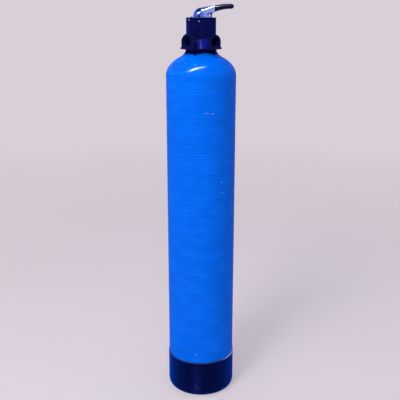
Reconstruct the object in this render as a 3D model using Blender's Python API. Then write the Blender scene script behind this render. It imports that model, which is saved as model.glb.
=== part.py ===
"""Carbon filter tank: a wound pressure vessel on a moulded boot, with its media, riser and lever valve.

Units are metres and +Z is up. The origin is on the vessel's axis, on the floor.
The valve's empty stands on the face of the tank neck, and the lever's empty on top of the valve.
"""

import math

import bmesh
import bpy
from mathutils import Matrix, Vector

# Faceting of round pieces, and the distance that welds a spun outline
TANK_SIDES = 32
VALVE_SIDES = 28
TUBE_SIDES = 20
SMALL_SIDES = 8
SEAL_SIDES = 5
DOME_STEPS = 4
SHOULDER_STEPS = 4
FLARE_STEPS = 2
BOOT_CORNER_STEPS = 3
WELD = 1e-6
SMOOTH_BELOW = math.radians(35)

# Gap between pieces that touch, and the edge break of moulded rims
GAP = 0.0003
EDGE = 0.001
OVERCUT = 0.004

# Pressure vessel
TANK_RADIUS = 0.1285
TANK_HEIGHT = 1.3455
TANK_LIFT = 0.024
DOME_RISE = 0.084
WINDING_WALL = 0.0035
LINER_WALL = 0.003

# Neck, where the dome turns up into the threaded collar
NECK_RADIUS = 0.0555
NECK_STAND = 0.012
FLARE_RADIUS = 0.080
PAINT_EDGE = 0.52
THREAD_RADIUS = 0.0365
THREAD_LENGTH = 0.036
BARREL_WALL = 0.008
COLLAR_FLANGE_WIDTH = 0.0165
COLLAR_FLANGE = 0.006
SEAL_SEAT_WIDTH = 0.006
SEAL_SEAT_DEPTH = 0.0055

# Boot
BOOT_HEIGHT = 0.1444
BOOT_WALL = 0.0022
BOOT_FOOT = 0.004
BOOT_FOOT_WIDTH = 0.013
BOOT_CORNER_REACH = 0.013
BOOT_CORNER_RISE = 0.024
BOOT_RING_INSET = 0.0465
BOOT_RING_WALL = 0.005
BOOT_RING_LIFT = 0.002
BOOT_RIBS = 6
BOOT_RIB_WALL = 0.004
BOOT_RIB_DROP = 0.002

# Riser pipe and its strainers
RISER_RADIUS = 0.01335
RISER_WALL = 0.0025
RISER_SOCKET_DEPTH = 0.020
SOCKET_WALL = 0.003
BASKET_RADIUS = 0.026
BASKET_HEIGHT = 0.075
BASKET_WALL = 0.003
BASKET_SHOULDER = 0.010
BASKET_SLOTS = 6
SLOT_WIDTH = 0.002
CONE_RADIUS = 0.034
CONE_END_RADIUS = 0.0225
CONE_LENGTH = 0.060
CONE_WALL = 0.003
CONE_SLOTS = 6

# Media
CARBON_DEPTH = 0.780
MEDIA_GAP = 0.001

# Valve body, measured up from the neck face
SKIRT_LENGTH = 0.030
VALVE_FLANGE_RADIUS = 0.0755
VALVE_FLANGE = 0.005
CORE_RADIUS = 0.046
SHOULDER_HEIGHT = 0.036
BODY_RADIUS = 0.054
BODY_HEIGHT = 0.1035
CHAMBER_RADIUS = 0.044
CHAMBER_FLOOR = 0.052
RISER_ENTRY = 0.025
ANNULUS_INNER = 0.0190
ANNULUS_OUTER = 0.0300
ANNULUS_TOP = 0.003

# Three ports and the passages that lead up to the discs
PORT_AZIMUTHS = {"inlet": math.pi, "drain": -math.pi / 2, "outlet": 0.0}
PORT_HEIGHT = 0.027
PORT_REACH = 0.0715
BOSS_HALF_WIDTH = 0.0292
BOSS_RISE = 0.0252
BOSS_ROOT = 0.030
BOSS_STEPS = 8
PORT_RADIUS = 0.01665
PORT_MOUTH_RADIUS = 0.0205
PORT_MOUTH_DEPTH = 0.0035
PORT_THREAD_DEPTH = 0.022
PORT_BORE = 0.0125
PORT_SIDES = 20
PASSAGE_RING = 0.0245
PASSAGE_RADIUS = 0.006
INLET_RING = 0.0395
INLET_PASSAGE = 0.004

# Tapered boss between the two front ports
PILLAR_DISTANCE = 0.052
PILLAR_SHIFT = 0.0058
PILLAR_HEAD_SHIFT = 0.0025
PILLAR_FOOT = 0.0210
PILLAR_HEAD = 0.0125
PILLAR_HEIGHT = 0.036
FRONT_AZIMUTH = -math.pi / 4

# Disc stack inside the chamber
DISC_RADIUS = 0.034
SEAT_SEAL = 0.002
DISC = 0.008
CHANNEL_DEPTH = 0.004
ROTOR_SEAL = 0.002
ROTOR_SEAL_BORE = 0.0115
ROTOR_RADIUS = 0.030
ROTOR = 0.009
DRIVE_SQUARE = 0.0125
DRIVE_DEPTH = 0.003
WASHER = 0.0015
WASHER_RADIUS = 0.022
STEM_RADIUS = 0.007
STEM_RISE = 0.0145
STEM_FLAT = 0.0012

# Cap, its screws and the dial ring
CAP_FLANGE = 0.0057
CAP_SCREWS = 6
SCREW_RING = 0.049
SCREW_RADIUS = 0.002
SCREW_HEAD_RADIUS = 0.0034
SCREW_HEAD = 0.0026
SCREW_LENGTH = 0.011
DIAL_INNER = 0.016
DIAL_OUTER = 0.0440
DIAL = 0.0014
STOP_LENGTH = 0.005
STOP_WIDTH = 0.004
STOP_HEIGHT = 0.0038
STOP_SLACK = math.radians(2.0)

# Seals: radius of each round section
NECK_SEAL = 0.0024
RISER_SEAL = 0.0012
STEM_SEAL = 0.0010
CAP_SEAL = 0.0012

# Lever, measured up from the cap and out along the lever
LEVER_REST = math.pi / 4
LEVER_TRAVEL = math.pi
LEVER_LIFT = 0.001
HUB_RADIUS = 0.030
HUB_HEIGHT = 0.0345
HUB_WALL = 0.0038
HUB_HOLLOW = 0.013
HUB_BOSS = 0.0125
HUB_BEAD = 0.0010
HUB_BEAD_HEIGHT = 0.003
HUB_SPRING_ANGLE = math.radians(6)
ARM_ROOT = -0.006
ARM_REACH = 0.048
ARM_END_HALF_WIDTH = 0.0140
ARM_START_KEEL = 0.0020
ARM_START_LOW = 0.0028
ARM_START_HIGH = 0.0165
ARM_END_KEEL = 0.0165
ARM_END_LOW = 0.0257
ARM_END_HIGH = 0.0372
ARM_END_TOP = 0.0410
ARM_BOW = 0.0008
ARM_STEPS = 4
TANG_RADIUS = 0.0045
TANG_LENGTH = 0.046
TANG_SHARE = 0.75
GRIP_LENGTH = 0.057
GRIP_START_HALF_WIDTH = 0.0130
GRIP_START_BOTTOM = 0.0185
GRIP_START_TOP = 0.0415
GRIP_END_HALF_WIDTH = 0.0106
GRIP_END_BOTTOM = 0.0296
GRIP_END_TOP = 0.0472
GRIP_STEPS = 4
GRIP_SIDES = 12
END_CAP_LENGTH = 0.0115
END_CAP_ROUND = math.radians(72)
END_CAP_SPIGOT = 0.008
END_CAP_SPIGOT_RADIUS = 0.004
PIN_DISTANCE = 0.0365
PIN_RADIUS = 0.0042
PIN_LIFT = 0.0018
PIN_LENGTH = 0.0197
GRUB_RADIUS = 0.0025
GRUB_HEIGHT = 0.0065
GRUB_TURN = math.radians(-11.0)
ARCH_HALF_WIDTH = 0.0048
ARCH_SPRING = 0.0045
ARCH_STEPS = 6

# Sizes that follow
TOP_EQUATOR = TANK_HEIGHT - NECK_STAND - DOME_RISE
BOTTOM_EQUATOR = TANK_LIFT + DOME_RISE
FLARE_ANGLE = math.acos(FLARE_RADIUS / TANK_RADIUS)
FLANGE_ANGLE = math.acos((FLARE_RADIUS + COLLAR_FLANGE_WIDTH) / TANK_RADIUS)
LINER_OFFSET = WINDING_WALL + GAP
MEDIA_OFFSET = LINER_OFFSET + LINER_WALL + MEDIA_GAP
BOOT_RING_RADIUS = TANK_RADIUS - BOOT_RING_INSET
CAP_TOP = BODY_HEIGHT + GAP + CAP_FLANGE


def material(name, colour, roughness, metallic=0.0):
    """A Principled material with the piece's colour, roughness and metallic value."""
    made = bpy.data.materials.new(name)
    made.use_nodes = True
    shader = made.node_tree.nodes["Principled BSDF"]
    shader.inputs["Base Color"].default_value = (*colour, 1.0)
    shader.inputs["Roughness"].default_value = roughness
    shader.inputs["Metallic"].default_value = metallic
    made.diffuse_color = (*colour, 1.0)
    return made


def add_object(name, bm, look=None, parent=None):
    """Turns a bmesh into a smooth-shaded object, with its faces pointing out."""
    bmesh.ops.recalc_face_normals(bm, faces=bm.faces)
    mesh = bpy.data.meshes.new(name)
    bm.to_mesh(mesh)
    bm.free()
    mesh.shade_smooth()
    mesh.set_sharp_from_angle(angle=SMOOTH_BELOW)
    if look:
        mesh.materials.append(look)
    made = bpy.data.objects.new(name, mesh)
    made.parent = parent
    bpy.context.scene.collection.objects.link(made)
    return made


def add_empty(name, height, azimuth=0.0, parent=None):
    """An empty on the tank's axis, which carries the pieces above it."""
    made = bpy.data.objects.new(name, None)
    made.location.z = height
    made.rotation_euler.z = azimuth
    made.parent = parent
    bpy.context.scene.collection.objects.link(made)
    return made


def turned(name, outline, look=None, parent=None, sides=TANK_SIDES):
    """Spins an outline of (radius, height) points. One that starts on the axis ends on it, and others close."""
    bm = bmesh.new()
    points = [bm.verts.new((radius, 0.0, height)) for radius, height in outline]
    edges = [bm.edges.new(pair) for pair in zip(points, points[1:])]
    if outline[0][0] > 0.0:
        edges.append(bm.edges.new((points[-1], points[0])))
    bmesh.ops.spin(
        bm, geom=points + edges, cent=(0, 0, 0), axis=(0, 0, 1), angle=math.tau, steps=sides, use_merge=True
    )
    bmesh.ops.remove_doubles(bm, verts=bm.verts, dist=WELD)
    return add_object(name, bm, look, parent)


def lofted(name, sections, look=None, parent=None):
    """Joins closed sections of equal point count by quads, with a face over each end."""
    bm = bmesh.new()
    loops = [[bm.verts.new(point) for point in section] for section in sections]
    count = len(loops[0])
    for near, far in zip(loops, loops[1:]):
        for i in range(count):
            j = (i + 1) % count
            bm.faces.new((near[i], near[j], far[j], far[i]))
    bm.faces.new(loops[0])
    bm.faces.new(loops[-1])
    return add_object(name, bm, look, parent)


def add_box(bm, low, high, turn=0.0):
    """Adds a box between two corners, turned about the axis."""
    low, high = Vector(low), Vector(high)
    size = Matrix.Diagonal((*(high - low), 1.0))
    place = Matrix.Rotation(turn, 4, "Z") @ Matrix.Translation((low + high) / 2) @ size
    bmesh.ops.create_cube(bm, size=1.0, matrix=place)


def add_cylinder(bm, radius, start, end, sides=SMALL_SIDES, end_radius=None):
    """Adds a cylinder or cone from start to end."""
    start, end = Vector(start), Vector(end)
    axis = end - start
    place = Matrix.Translation((start + end) / 2) @ axis.to_track_quat("Z", "Y").to_matrix().to_4x4()
    bmesh.ops.create_cone(
        bm,
        cap_ends=True,
        segments=sides,
        radius1=radius,
        radius2=radius if end_radius is None else end_radius,
        depth=axis.length,
        matrix=place,
    )


def cylinders(name, radius, spans, look=None, parent=None, sides=SMALL_SIDES):
    """One object of separate cylinders, each from a start to an end."""
    bm = bmesh.new()
    for start, end in spans:
        add_cylinder(bm, radius, start, end, sides)
    return add_object(name, bm, look, parent)


def combine(target, other, operation="DIFFERENCE"):
    """Cuts other from target or joins it on, and keeps other as a wire guide."""
    modifier = target.modifiers.new(f"{operation.lower()} {other.name}", "BOOLEAN")
    modifier.operation = operation
    modifier.solver = "EXACT"
    modifier.object = other
    other.hide_render = True
    other.display_type = "WIRE"


def spread(start, end, steps):
    """Evenly spaced values from start to end."""
    return [start + (end - start) * i / steps for i in range(steps + 1)]


def mix(start, end, share):
    return start + (end - start) * share


def around(radius, azimuth, height):
    """A point at that radius and azimuth about the axis."""
    return (radius * math.cos(azimuth), radius * math.sin(azimuth), height)


# Vessel curves, each a distance inside the outer skin


def dome_point(angle, offset):
    """(radius, rise above the equator) of the elliptical dome, offset square to its skin."""
    radius, rise = TANK_RADIUS * math.cos(angle), DOME_RISE * math.sin(angle)
    across, up = math.cos(angle) / TANK_RADIUS, math.sin(angle) / DOME_RISE
    length = math.hypot(across, up)
    return max(radius - offset * across / length, 0.0), rise - offset * up / length


def bottom_dome(offset):
    """From the lowest point on the axis up to the lower equator."""
    points = [dome_point(angle, offset) for angle in spread(math.pi / 2, 0.0, DOME_STEPS)]
    points[0] = (0.0, points[0][1])
    return [(radius, BOTTOM_EQUATOR - rise) for radius, rise in points]


def shoulder(offset, angles):
    """Along the upper dome at the given angles."""
    return [(radius, TOP_EQUATOR + rise) for radius, rise in (dome_point(a, offset) for a in angles)]


def flare_point(share, offset, slide=0.0):
    """A point on the curve that turns the dome up into the neck, from share 0 at the dome to 1 at the face."""
    start = Vector((FLARE_RADIUS, TOP_EQUATOR + DOME_RISE * math.sin(FLARE_ANGLE)))
    slope = DOME_RISE / TANK_RADIUS / math.tan(FLARE_ANGLE)
    corner = Vector((NECK_RADIUS, start.y + slope * (FLARE_RADIUS - NECK_RADIUS)))
    end = Vector((NECK_RADIUS, TANK_HEIGHT))
    point = start * (1 - share) ** 2 + corner * 2 * share * (1 - share) + end * share**2
    along = ((corner - start) * (1 - share) + (end - corner) * share).normalized()
    outward = Vector((along.y, -along.x))
    return tuple(point - outward * offset + along * slide)


def height_on(outline, radius):
    """Height of a polyline at that radius."""
    for (r0, z0), (r1, z1) in zip(outline, outline[1:]):
        if r0 <= radius <= r1:
            return mix(z0, z1, (radius - r0) / (r1 - r0))
    return outline[-1][1]


DOME_ANGLES = spread(0.0, FLANGE_ANGLE, SHOULDER_STEPS)
FLARE_SHARES = spread(0.0, PAINT_EDGE, FLARE_STEPS)


def winding_skin(offset):
    """One skin of the wound shell, from the bottom of the axis to the paint edge on the neck."""
    neck = [flare_point(share, offset) for share in FLARE_SHARES[:-1]]
    neck.append(flare_point(PAINT_EDGE, offset, slide=-GAP))
    return bottom_dome(offset) + shoulder(offset, DOME_ANGLES) + neck


def make_winding(look):
    outline = winding_skin(0.0) + winding_skin(WINDING_WALL)[::-1]
    return turned("tank_winding", outline, look)


def make_liner(look):
    outer = bottom_dome(LINER_OFFSET) + shoulder(LINER_OFFSET, DOME_ANGLES)
    inner_offset = LINER_OFFSET + LINER_WALL
    inner = bottom_dome(inner_offset) + shoulder(inner_offset, DOME_ANGLES)
    return turned("tank_liner", outer + inner[::-1], look)


def make_collar(look):
    """Threaded neck ring: its flange lies under the winding and its barrel hangs inside."""
    rim_angle = FLANGE_ANGLE + GAP / DOME_RISE
    shown = [flare_point(share, 0.0) for share in spread(1.0, PAINT_EDGE, FLARE_STEPS)]
    shown[0] = (NECK_RADIUS, TANK_HEIGHT - EDGE)
    under = [flare_point(share, LINER_OFFSET) for share in FLARE_SHARES[::-1]]
    under += shoulder(LINER_OFFSET, [rim_angle])
    below = LINER_OFFSET + COLLAR_FLANGE
    barrel = THREAD_RADIUS + BARREL_WALL
    barrel_end = TANK_HEIGHT - THREAD_LENGTH
    seat = THREAD_RADIUS + SEAL_SEAT_WIDTH
    outline = [(NECK_RADIUS - EDGE, TANK_HEIGHT)] + shown + under
    outline += shoulder(below, [rim_angle]) + [flare_point(0.0, below)]
    outline += [(barrel, flare_point(PAINT_EDGE, below)[1]), (barrel, barrel_end), (THREAD_RADIUS, barrel_end)]
    outline += [(THREAD_RADIUS, TANK_HEIGHT - SEAL_SEAT_DEPTH), (seat, TANK_HEIGHT - SEAL_SEAT_DEPTH)]
    outline.append((seat, TANK_HEIGHT))
    return turned("neck_collar", outline, look)


def boot_corner(side, lift):
    """Rounded corner from the boot's foot up to its wall, with that much taken off the side and the foot."""
    middle = TANK_RADIUS + GAP + BOOT_WALL - BOOT_CORNER_REACH
    reach, rise = BOOT_CORNER_REACH - side, BOOT_CORNER_RISE - lift
    turns = spread(0.0, math.pi / 2, BOOT_CORNER_STEPS)
    return [(middle + reach * math.sin(a), BOOT_CORNER_RISE - rise * math.cos(a)) for a in turns]


def make_boot(look):
    """Moulded stand: an outer wall that rounds into a foot, and a ring with ribs that carries the dome."""
    inner = TANK_RADIUS + GAP
    outer = inner + BOOT_WALL
    foot_inner = outer - BOOT_CORNER_REACH - BOOT_FOOT_WIDTH
    outline = boot_corner(0.0, 0.0) + [(outer, BOOT_HEIGHT - EDGE)]
    outline += [(outer - EDGE, BOOT_HEIGHT), (inner, BOOT_HEIGHT)]
    outline += boot_corner(BOOT_WALL, BOOT_FOOT)[::-1] + [(foot_inner, BOOT_FOOT), (foot_inner, 0.0)]
    boot = turned("base_boot", outline, look)

    carried = bottom_dome(-GAP)
    ring_outer = BOOT_RING_RADIUS + BOOT_RING_WALL
    ring_top = [(r, height_on(carried, r)) for r in (ring_outer, BOOT_RING_RADIUS)]
    ring = [(BOOT_RING_RADIUS, BOOT_RING_LIFT), (ring_outer, BOOT_RING_LIFT)] + ring_top
    combine(boot, turned("boot_ring", ring), "UNION")

    bm = bmesh.new()
    rib_reach = inner + BOOT_WALL / 2
    rib_root = BOOT_RING_RADIUS + BOOT_RING_WALL / 2
    clear = bottom_dome(-BOOT_RIB_DROP)
    top = [(rib_root, height_on(clear, rib_root))]
    top += [p for p in clear if rib_root < p[0] < inner - BOOT_RIB_DROP]
    top.append((rib_reach, top[-1][1]))
    side = [(rib_root, BOOT_RING_LIFT)] + boot_corner(BOOT_WALL / 2, BOOT_FOOT / 2) + top[::-1]
    for i in range(BOOT_RIBS):
        turn = Matrix.Rotation(math.tau * (i + 0.5) / BOOT_RIBS, 4, "Z")
        near = [bm.verts.new(turn @ Vector((r, -BOOT_RIB_WALL / 2, z))) for r, z in side]
        face = bm.faces.new(near)
        grown = bmesh.ops.extrude_face_region(bm, geom=[face])["geom"]
        moved = [v for v in grown if isinstance(v, bmesh.types.BMVert)]
        bmesh.ops.translate(bm, verts=moved, vec=turn @ Vector((0.0, BOOT_RIB_WALL, 0.0)))
    combine(boot, add_object("boot_ribs", bm), "UNION")
    return boot


# Riser, strainers and media

LINER_FLOOR = bottom_dome(LINER_OFFSET + LINER_WALL)
BASKET_BASE = height_on(LINER_FLOOR, BASKET_RADIUS) + GAP
GRAVEL_TOP = BASKET_BASE + BASKET_HEIGHT
SOCKET_RADIUS = RISER_RADIUS + GAP + SOCKET_WALL
SOCKET_TOP = GRAVEL_TOP + BASKET_SHOULDER + RISER_SOCKET_DEPTH
RISER_BASE = GRAVEL_TOP + BASKET_SHOULDER + GAP
RISER_BORE = RISER_RADIUS - RISER_WALL
RISER_HOLE = RISER_RADIUS + GAP


def radial_slots(name, count, low, high, reach, parent=None):
    """A cutter of upright slots, each from half its reach out through the wall."""
    bm = bmesh.new()
    for i in range(count):
        start = (reach / 2, -SLOT_WIDTH / 2, low)
        add_box(bm, start, (reach + OVERCUT, SLOT_WIDTH / 2, high), math.tau * (i + 0.5) / count)
    return add_object(name, bm, parent=parent)


def make_riser(look):
    top = TANK_HEIGHT + RISER_ENTRY - GAP
    outline = [(RISER_BORE, RISER_BASE), (RISER_RADIUS, RISER_BASE), (RISER_RADIUS, top), (RISER_BORE, top)]
    return turned("riser_tube", outline, look, sides=TUBE_SIDES)


def make_bottom_strainer(look):
    """Closed basket with upright slots, and a socket that takes the riser."""
    base, top = BASKET_BASE, GRAVEL_TOP
    inside = BASKET_RADIUS - BASKET_WALL
    outline = [(0.0, base), (BASKET_RADIUS, base), (BASKET_RADIUS, top), (SOCKET_RADIUS, top + BASKET_SHOULDER)]
    outline += [(SOCKET_RADIUS, SOCKET_TOP), (RISER_HOLE, SOCKET_TOP), (RISER_HOLE, RISER_BASE - GAP)]
    outline += [(RISER_BORE, RISER_BASE - GAP), (RISER_BORE, RISER_BASE - BASKET_WALL)]
    outline += [(inside, top - BASKET_WALL), (inside, base + BASKET_WALL), (0.0, base + BASKET_WALL)]
    basket = turned("bottom_strainer", outline, look, sides=TUBE_SIDES)
    margin = 3 * BASKET_WALL
    slots = radial_slots("basket_slots", BASKET_SLOTS, base + margin, top - margin, BASKET_RADIUS)
    combine(basket, slots)
    return basket


def make_gravel(look):
    hole = BASKET_RADIUS + GAP
    outer = [point for point in bottom_dome(MEDIA_OFFSET) if point[1] < GRAVEL_TOP and point[0] > hole]
    below = bottom_dome(MEDIA_OFFSET)
    outline = [(hole, height_on(below, hole))] + outer
    outline += [(radius_at(below, GRAVEL_TOP), GRAVEL_TOP), (hole, GRAVEL_TOP)]
    return turned("gravel_bed", outline, look, sides=TUBE_SIDES)


def radius_at(outline, height):
    """Radius of a rising polyline at that height, or its widest above its end."""
    for (r0, z0), (r1, z1) in zip(outline, outline[1:]):
        if z0 <= height <= z1:
            return mix(r0, r1, (height - z0) / (z1 - z0))
    return outline[-1][0]


def make_carbon(look):
    """The granular bed, which rests on the gravel round the riser and its socket."""
    wall = bottom_dome(MEDIA_OFFSET)
    base = GRAVEL_TOP + GAP
    top = base + CARBON_DEPTH
    socket = SOCKET_RADIUS + GAP
    shoulder_top = GRAVEL_TOP + BASKET_SHOULDER + GAP
    outline = [(BASKET_RADIUS + 2 * GAP, base), (radius_at(wall, base), base)]
    outline += [point for point in wall if point[1] > base] + [(wall[-1][0], top)]
    outline += [(RISER_HOLE, top), (RISER_HOLE, SOCKET_TOP + GAP), (socket, SOCKET_TOP + GAP)]
    outline.append((socket, shoulder_top + GAP))
    return turned("carbon_bed", outline, look, sides=TUBE_SIDES)


def make_top_strainer(look, valve):
    """Slotted cone that hangs under the valve's skirt, with the riser through its floor."""
    top = -SKIRT_LENGTH - GAP
    end = top - CONE_LENGTH
    rim = top - CONE_WALL
    outline = [(CONE_RADIUS, top), (CONE_RADIUS, rim), (CONE_END_RADIUS, end), (RISER_HOLE, end)]
    outline += [(RISER_HOLE, end + CONE_WALL), (CONE_END_RADIUS - CONE_WALL, end + CONE_WALL)]
    outline += [(CONE_RADIUS - CONE_WALL, rim), (CONE_RADIUS - CONE_WALL, top)]
    cone = turned("top_strainer", outline, look, valve, TUBE_SIDES)
    margin = 3 * CONE_WALL
    slots = radial_slots("cone_slots", CONE_SLOTS, end + margin, top - margin, CONE_RADIUS, valve)
    combine(cone, slots)
    return cone


# Valve body

SKIRT_RADIUS = THREAD_RADIUS - GAP
SEAL_BORE = RISER_HOLE + 2 * RISER_SEAL + GAP
SEAL_LIFT = -SKIRT_LENGTH / 2
CAP_FIT_RADIUS = CHAMBER_RADIUS - GAP


def body_outline():
    """The turned part of the valve body, chamber and riser socket included."""
    groove = RISER_SEAL + GAP
    outline = [(RISER_HOLE, -SKIRT_LENGTH), (RISER_HOLE, SEAL_LIFT - groove), (SEAL_BORE, SEAL_LIFT - groove)]
    outline += [(SEAL_BORE, SEAL_LIFT + groove), (RISER_HOLE, SEAL_LIFT + groove), (RISER_HOLE, RISER_ENTRY)]
    outline += [(RISER_BORE, RISER_ENTRY), (RISER_BORE, CHAMBER_FLOOR), (CHAMBER_RADIUS, CHAMBER_FLOOR)]
    outline += [(CHAMBER_RADIUS, BODY_HEIGHT), (BODY_RADIUS, BODY_HEIGHT), (BODY_RADIUS, SHOULDER_HEIGHT)]
    outline += [(CORE_RADIUS, SHOULDER_HEIGHT - EDGE), (CORE_RADIUS, VALVE_FLANGE)]
    outline += [(VALVE_FLANGE_RADIUS, VALVE_FLANGE), (VALVE_FLANGE_RADIUS, GAP), (SKIRT_RADIUS, GAP)]
    outline += [(SKIRT_RADIUS, -SKIRT_LENGTH), (ANNULUS_OUTER, -SKIRT_LENGTH), (ANNULUS_OUTER, ANNULUS_TOP)]
    outline += [(ANNULUS_INNER, ANNULUS_TOP), (ANNULUS_INNER, -SKIRT_LENGTH)]
    return outline


def boss_section(reach, inset):
    """Arch-shaped section of a port boss: oval above, straight down to the flange."""
    half, rise = BOSS_HALF_WIDTH - inset, BOSS_RISE - inset
    turns = spread(0.0, math.pi, BOSS_STEPS)
    arch = [(half * math.cos(a), PORT_HEIGHT + rise * math.sin(a)) for a in turns]
    foot = VALVE_FLANGE / 2
    side = [(half, foot)] + arch + [(-half, foot)]
    return [(reach, across, up) for across, up in side]


def make_valve_body(look, valve):
    body = turned("valve_body", body_outline(), look, valve, VALVE_SIDES)
    face = PORT_REACH - EDGE
    sections = [boss_section(BOSS_ROOT, 0.0), boss_section(face, 0.0), boss_section(PORT_REACH, EDGE)]
    for name, azimuth in PORT_AZIMUTHS.items():
        boss = lofted(f"{name}_boss", sections, parent=valve)
        boss.rotation_euler.z = azimuth
        combine(body, boss, "UNION")

    across = Vector(around(1.0, FRONT_AZIMUTH + math.pi / 2, 0.0))
    foot = Vector(around(PILLAR_DISTANCE, FRONT_AZIMUTH, VALVE_FLANGE / 2)) + across * PILLAR_SHIFT
    head = Vector(around(PILLAR_DISTANCE, FRONT_AZIMUTH, PILLAR_HEIGHT)) + across * PILLAR_HEAD_SHIFT
    bm = bmesh.new()
    add_cylinder(bm, PILLAR_FOOT, foot, head, TUBE_SIDES, PILLAR_HEAD)
    combine(body, add_object("front_pillar", bm, parent=valve), "UNION")

    for name, azimuth in PORT_AZIMUTHS.items():
        combine(body, port_cutter(name, azimuth, valve))
    up = CHAMBER_FLOOR + OVERCUT
    reach = PASSAGE_RING
    spans = [(around(reach, PORT_AZIMUTHS[name], PORT_HEIGHT), around(reach, PORT_AZIMUTHS[name], up))
             for name in ("outlet", "drain")]
    spans.append((around(reach, math.pi / 2, ANNULUS_TOP - OVERCUT), around(reach, math.pi / 2, up)))
    combine(body, cylinders("body_passages", PASSAGE_RADIUS, spans, parent=valve))
    inlet = PORT_AZIMUTHS["inlet"]
    spans = [(around(INLET_RING, inlet, PORT_HEIGHT), around(INLET_RING, inlet, up))]
    combine(body, cylinders("inlet_passage", INLET_PASSAGE, spans, parent=valve))
    depth = SCREW_LENGTH + GAP
    combine(body, screw_holes("body_screw_holes", SCREW_RADIUS + GAP, BODY_HEIGHT - depth, BODY_HEIGHT, valve))
    return body


def port_cutter(name, azimuth, valve):
    """Wider mouth, thread socket and the narrower bore behind it."""
    inner_end = INLET_RING - INLET_PASSAGE if name == "inlet" else PASSAGE_RING - PASSAGE_RADIUS
    thread_end, mouth_end = PORT_REACH - PORT_THREAD_DEPTH, PORT_REACH - PORT_MOUTH_DEPTH
    outline = [(0.0, inner_end), (PORT_BORE, inner_end), (PORT_BORE, thread_end), (PORT_RADIUS, thread_end)]
    outline += [(PORT_RADIUS, mouth_end), (PORT_MOUTH_RADIUS, mouth_end)]
    outline += [(PORT_MOUTH_RADIUS, PORT_REACH + OVERCUT), (0.0, PORT_REACH + OVERCUT)]
    cutter = turned(f"{name}_bore", outline, parent=valve, sides=PORT_SIDES)
    cutter.location.z = PORT_HEIGHT
    cutter.rotation_euler = (0.0, math.pi / 2, azimuth)
    return cutter


def screw_holes(name, radius, low, high, valve):
    """Cutter for the ring of cap screws."""
    spots = [math.tau * i / CAP_SCREWS for i in range(CAP_SCREWS)]
    low, high = low - OVERCUT / 2, high + OVERCUT / 2
    spans = [(around(SCREW_RING, a, low), around(SCREW_RING, a, high)) for a in spots]
    return cylinders(name, radius, spans, parent=valve)


# Disc stack, from the chamber floor up

SEAT_SEAL_BASE = CHAMBER_FLOOR + GAP
FIXED_BASE = SEAT_SEAL_BASE + SEAT_SEAL + GAP
MOVING_BASE = FIXED_BASE + DISC + GAP
ROTOR_SEAL_BASE = MOVING_BASE + DISC + GAP
ROTOR_BASE = ROTOR_SEAL_BASE + ROTOR_SEAL + GAP
WASHER_BASE = ROTOR_BASE + ROTOR + GAP
CAP_BASE = WASHER_BASE + WASHER + GAP
STEM_BORE = STEM_RADIUS + GAP


def plate(name, radius, base, thickness, look, parent, bore=0.0, sides=VALVE_SIDES):
    """A flat disc or ring."""
    outline = [(bore, base), (radius, base), (radius, base + thickness), (bore, base + thickness)]
    return turned(name, outline, look, parent, sides)


def cut_passages(target, base, thickness, valve):
    """Three holes through a seat, in line with the passages of the body."""
    low, high = base - OVERCUT, base + thickness + OVERCUT
    turns = (0.0, math.pi / 2, -math.pi / 2)
    spans = [(around(PASSAGE_RING, a, low), around(PASSAGE_RING, a, high)) for a in turns]
    combine(target, cylinders(f"{target.name}_holes", PASSAGE_RADIUS, spans, parent=valve))


def make_disc_stack(looks, valve, lever):
    """Seat seal and fixed disc in the body, then the moving disc and what the stem turns."""
    rubber, ceramic = looks["rubber"], looks["ceramic"]
    seal = plate("seat_seal", DISC_RADIUS, SEAT_SEAL_BASE, SEAT_SEAL, rubber, valve, RISER_BORE, TUBE_SIDES)
    cut_passages(seal, SEAT_SEAL_BASE, SEAT_SEAL, valve)
    fixed = plate("fixed_disc", DISC_RADIUS, FIXED_BASE, DISC, ceramic, valve, RISER_BORE, TUBE_SIDES)
    cut_passages(fixed, FIXED_BASE, DISC, valve)
    plate("thrust_washer", WASHER_RADIUS, WASHER_BASE, WASHER, looks["nylon"], valve, STEM_BORE, TUBE_SIDES)

    down = -CAP_TOP
    moving = plate("moving_disc", DISC_RADIUS, down + MOVING_BASE, DISC, ceramic, lever, 0.0, TUBE_SIDES)
    bm = bmesh.new()
    half = PASSAGE_RADIUS
    low = down + MOVING_BASE
    add_box(bm, (-half, -half, low - OVERCUT), (PASSAGE_RING + half, half, low + CHANNEL_DEPTH))
    square = DRIVE_SQUARE / 2 + GAP
    high = low + DISC
    add_box(bm, (-square, -square, high - DRIVE_DEPTH - GAP), (square, square, high + OVERCUT))
    hole = around(PASSAGE_RING, -math.pi / 2, low - OVERCUT)
    add_cylinder(bm, PASSAGE_RADIUS, hole, (hole[0], hole[1], high + OVERCUT))
    combine(moving, add_object("moving_disc_cuts", bm, parent=lever))

    base = down + ROTOR_SEAL_BASE
    plate("rotor_seal", ROTOR_RADIUS, base, ROTOR_SEAL, rubber, lever, ROTOR_SEAL_BORE, TUBE_SIDES)
    make_stem(looks["brass"], lever)


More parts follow.
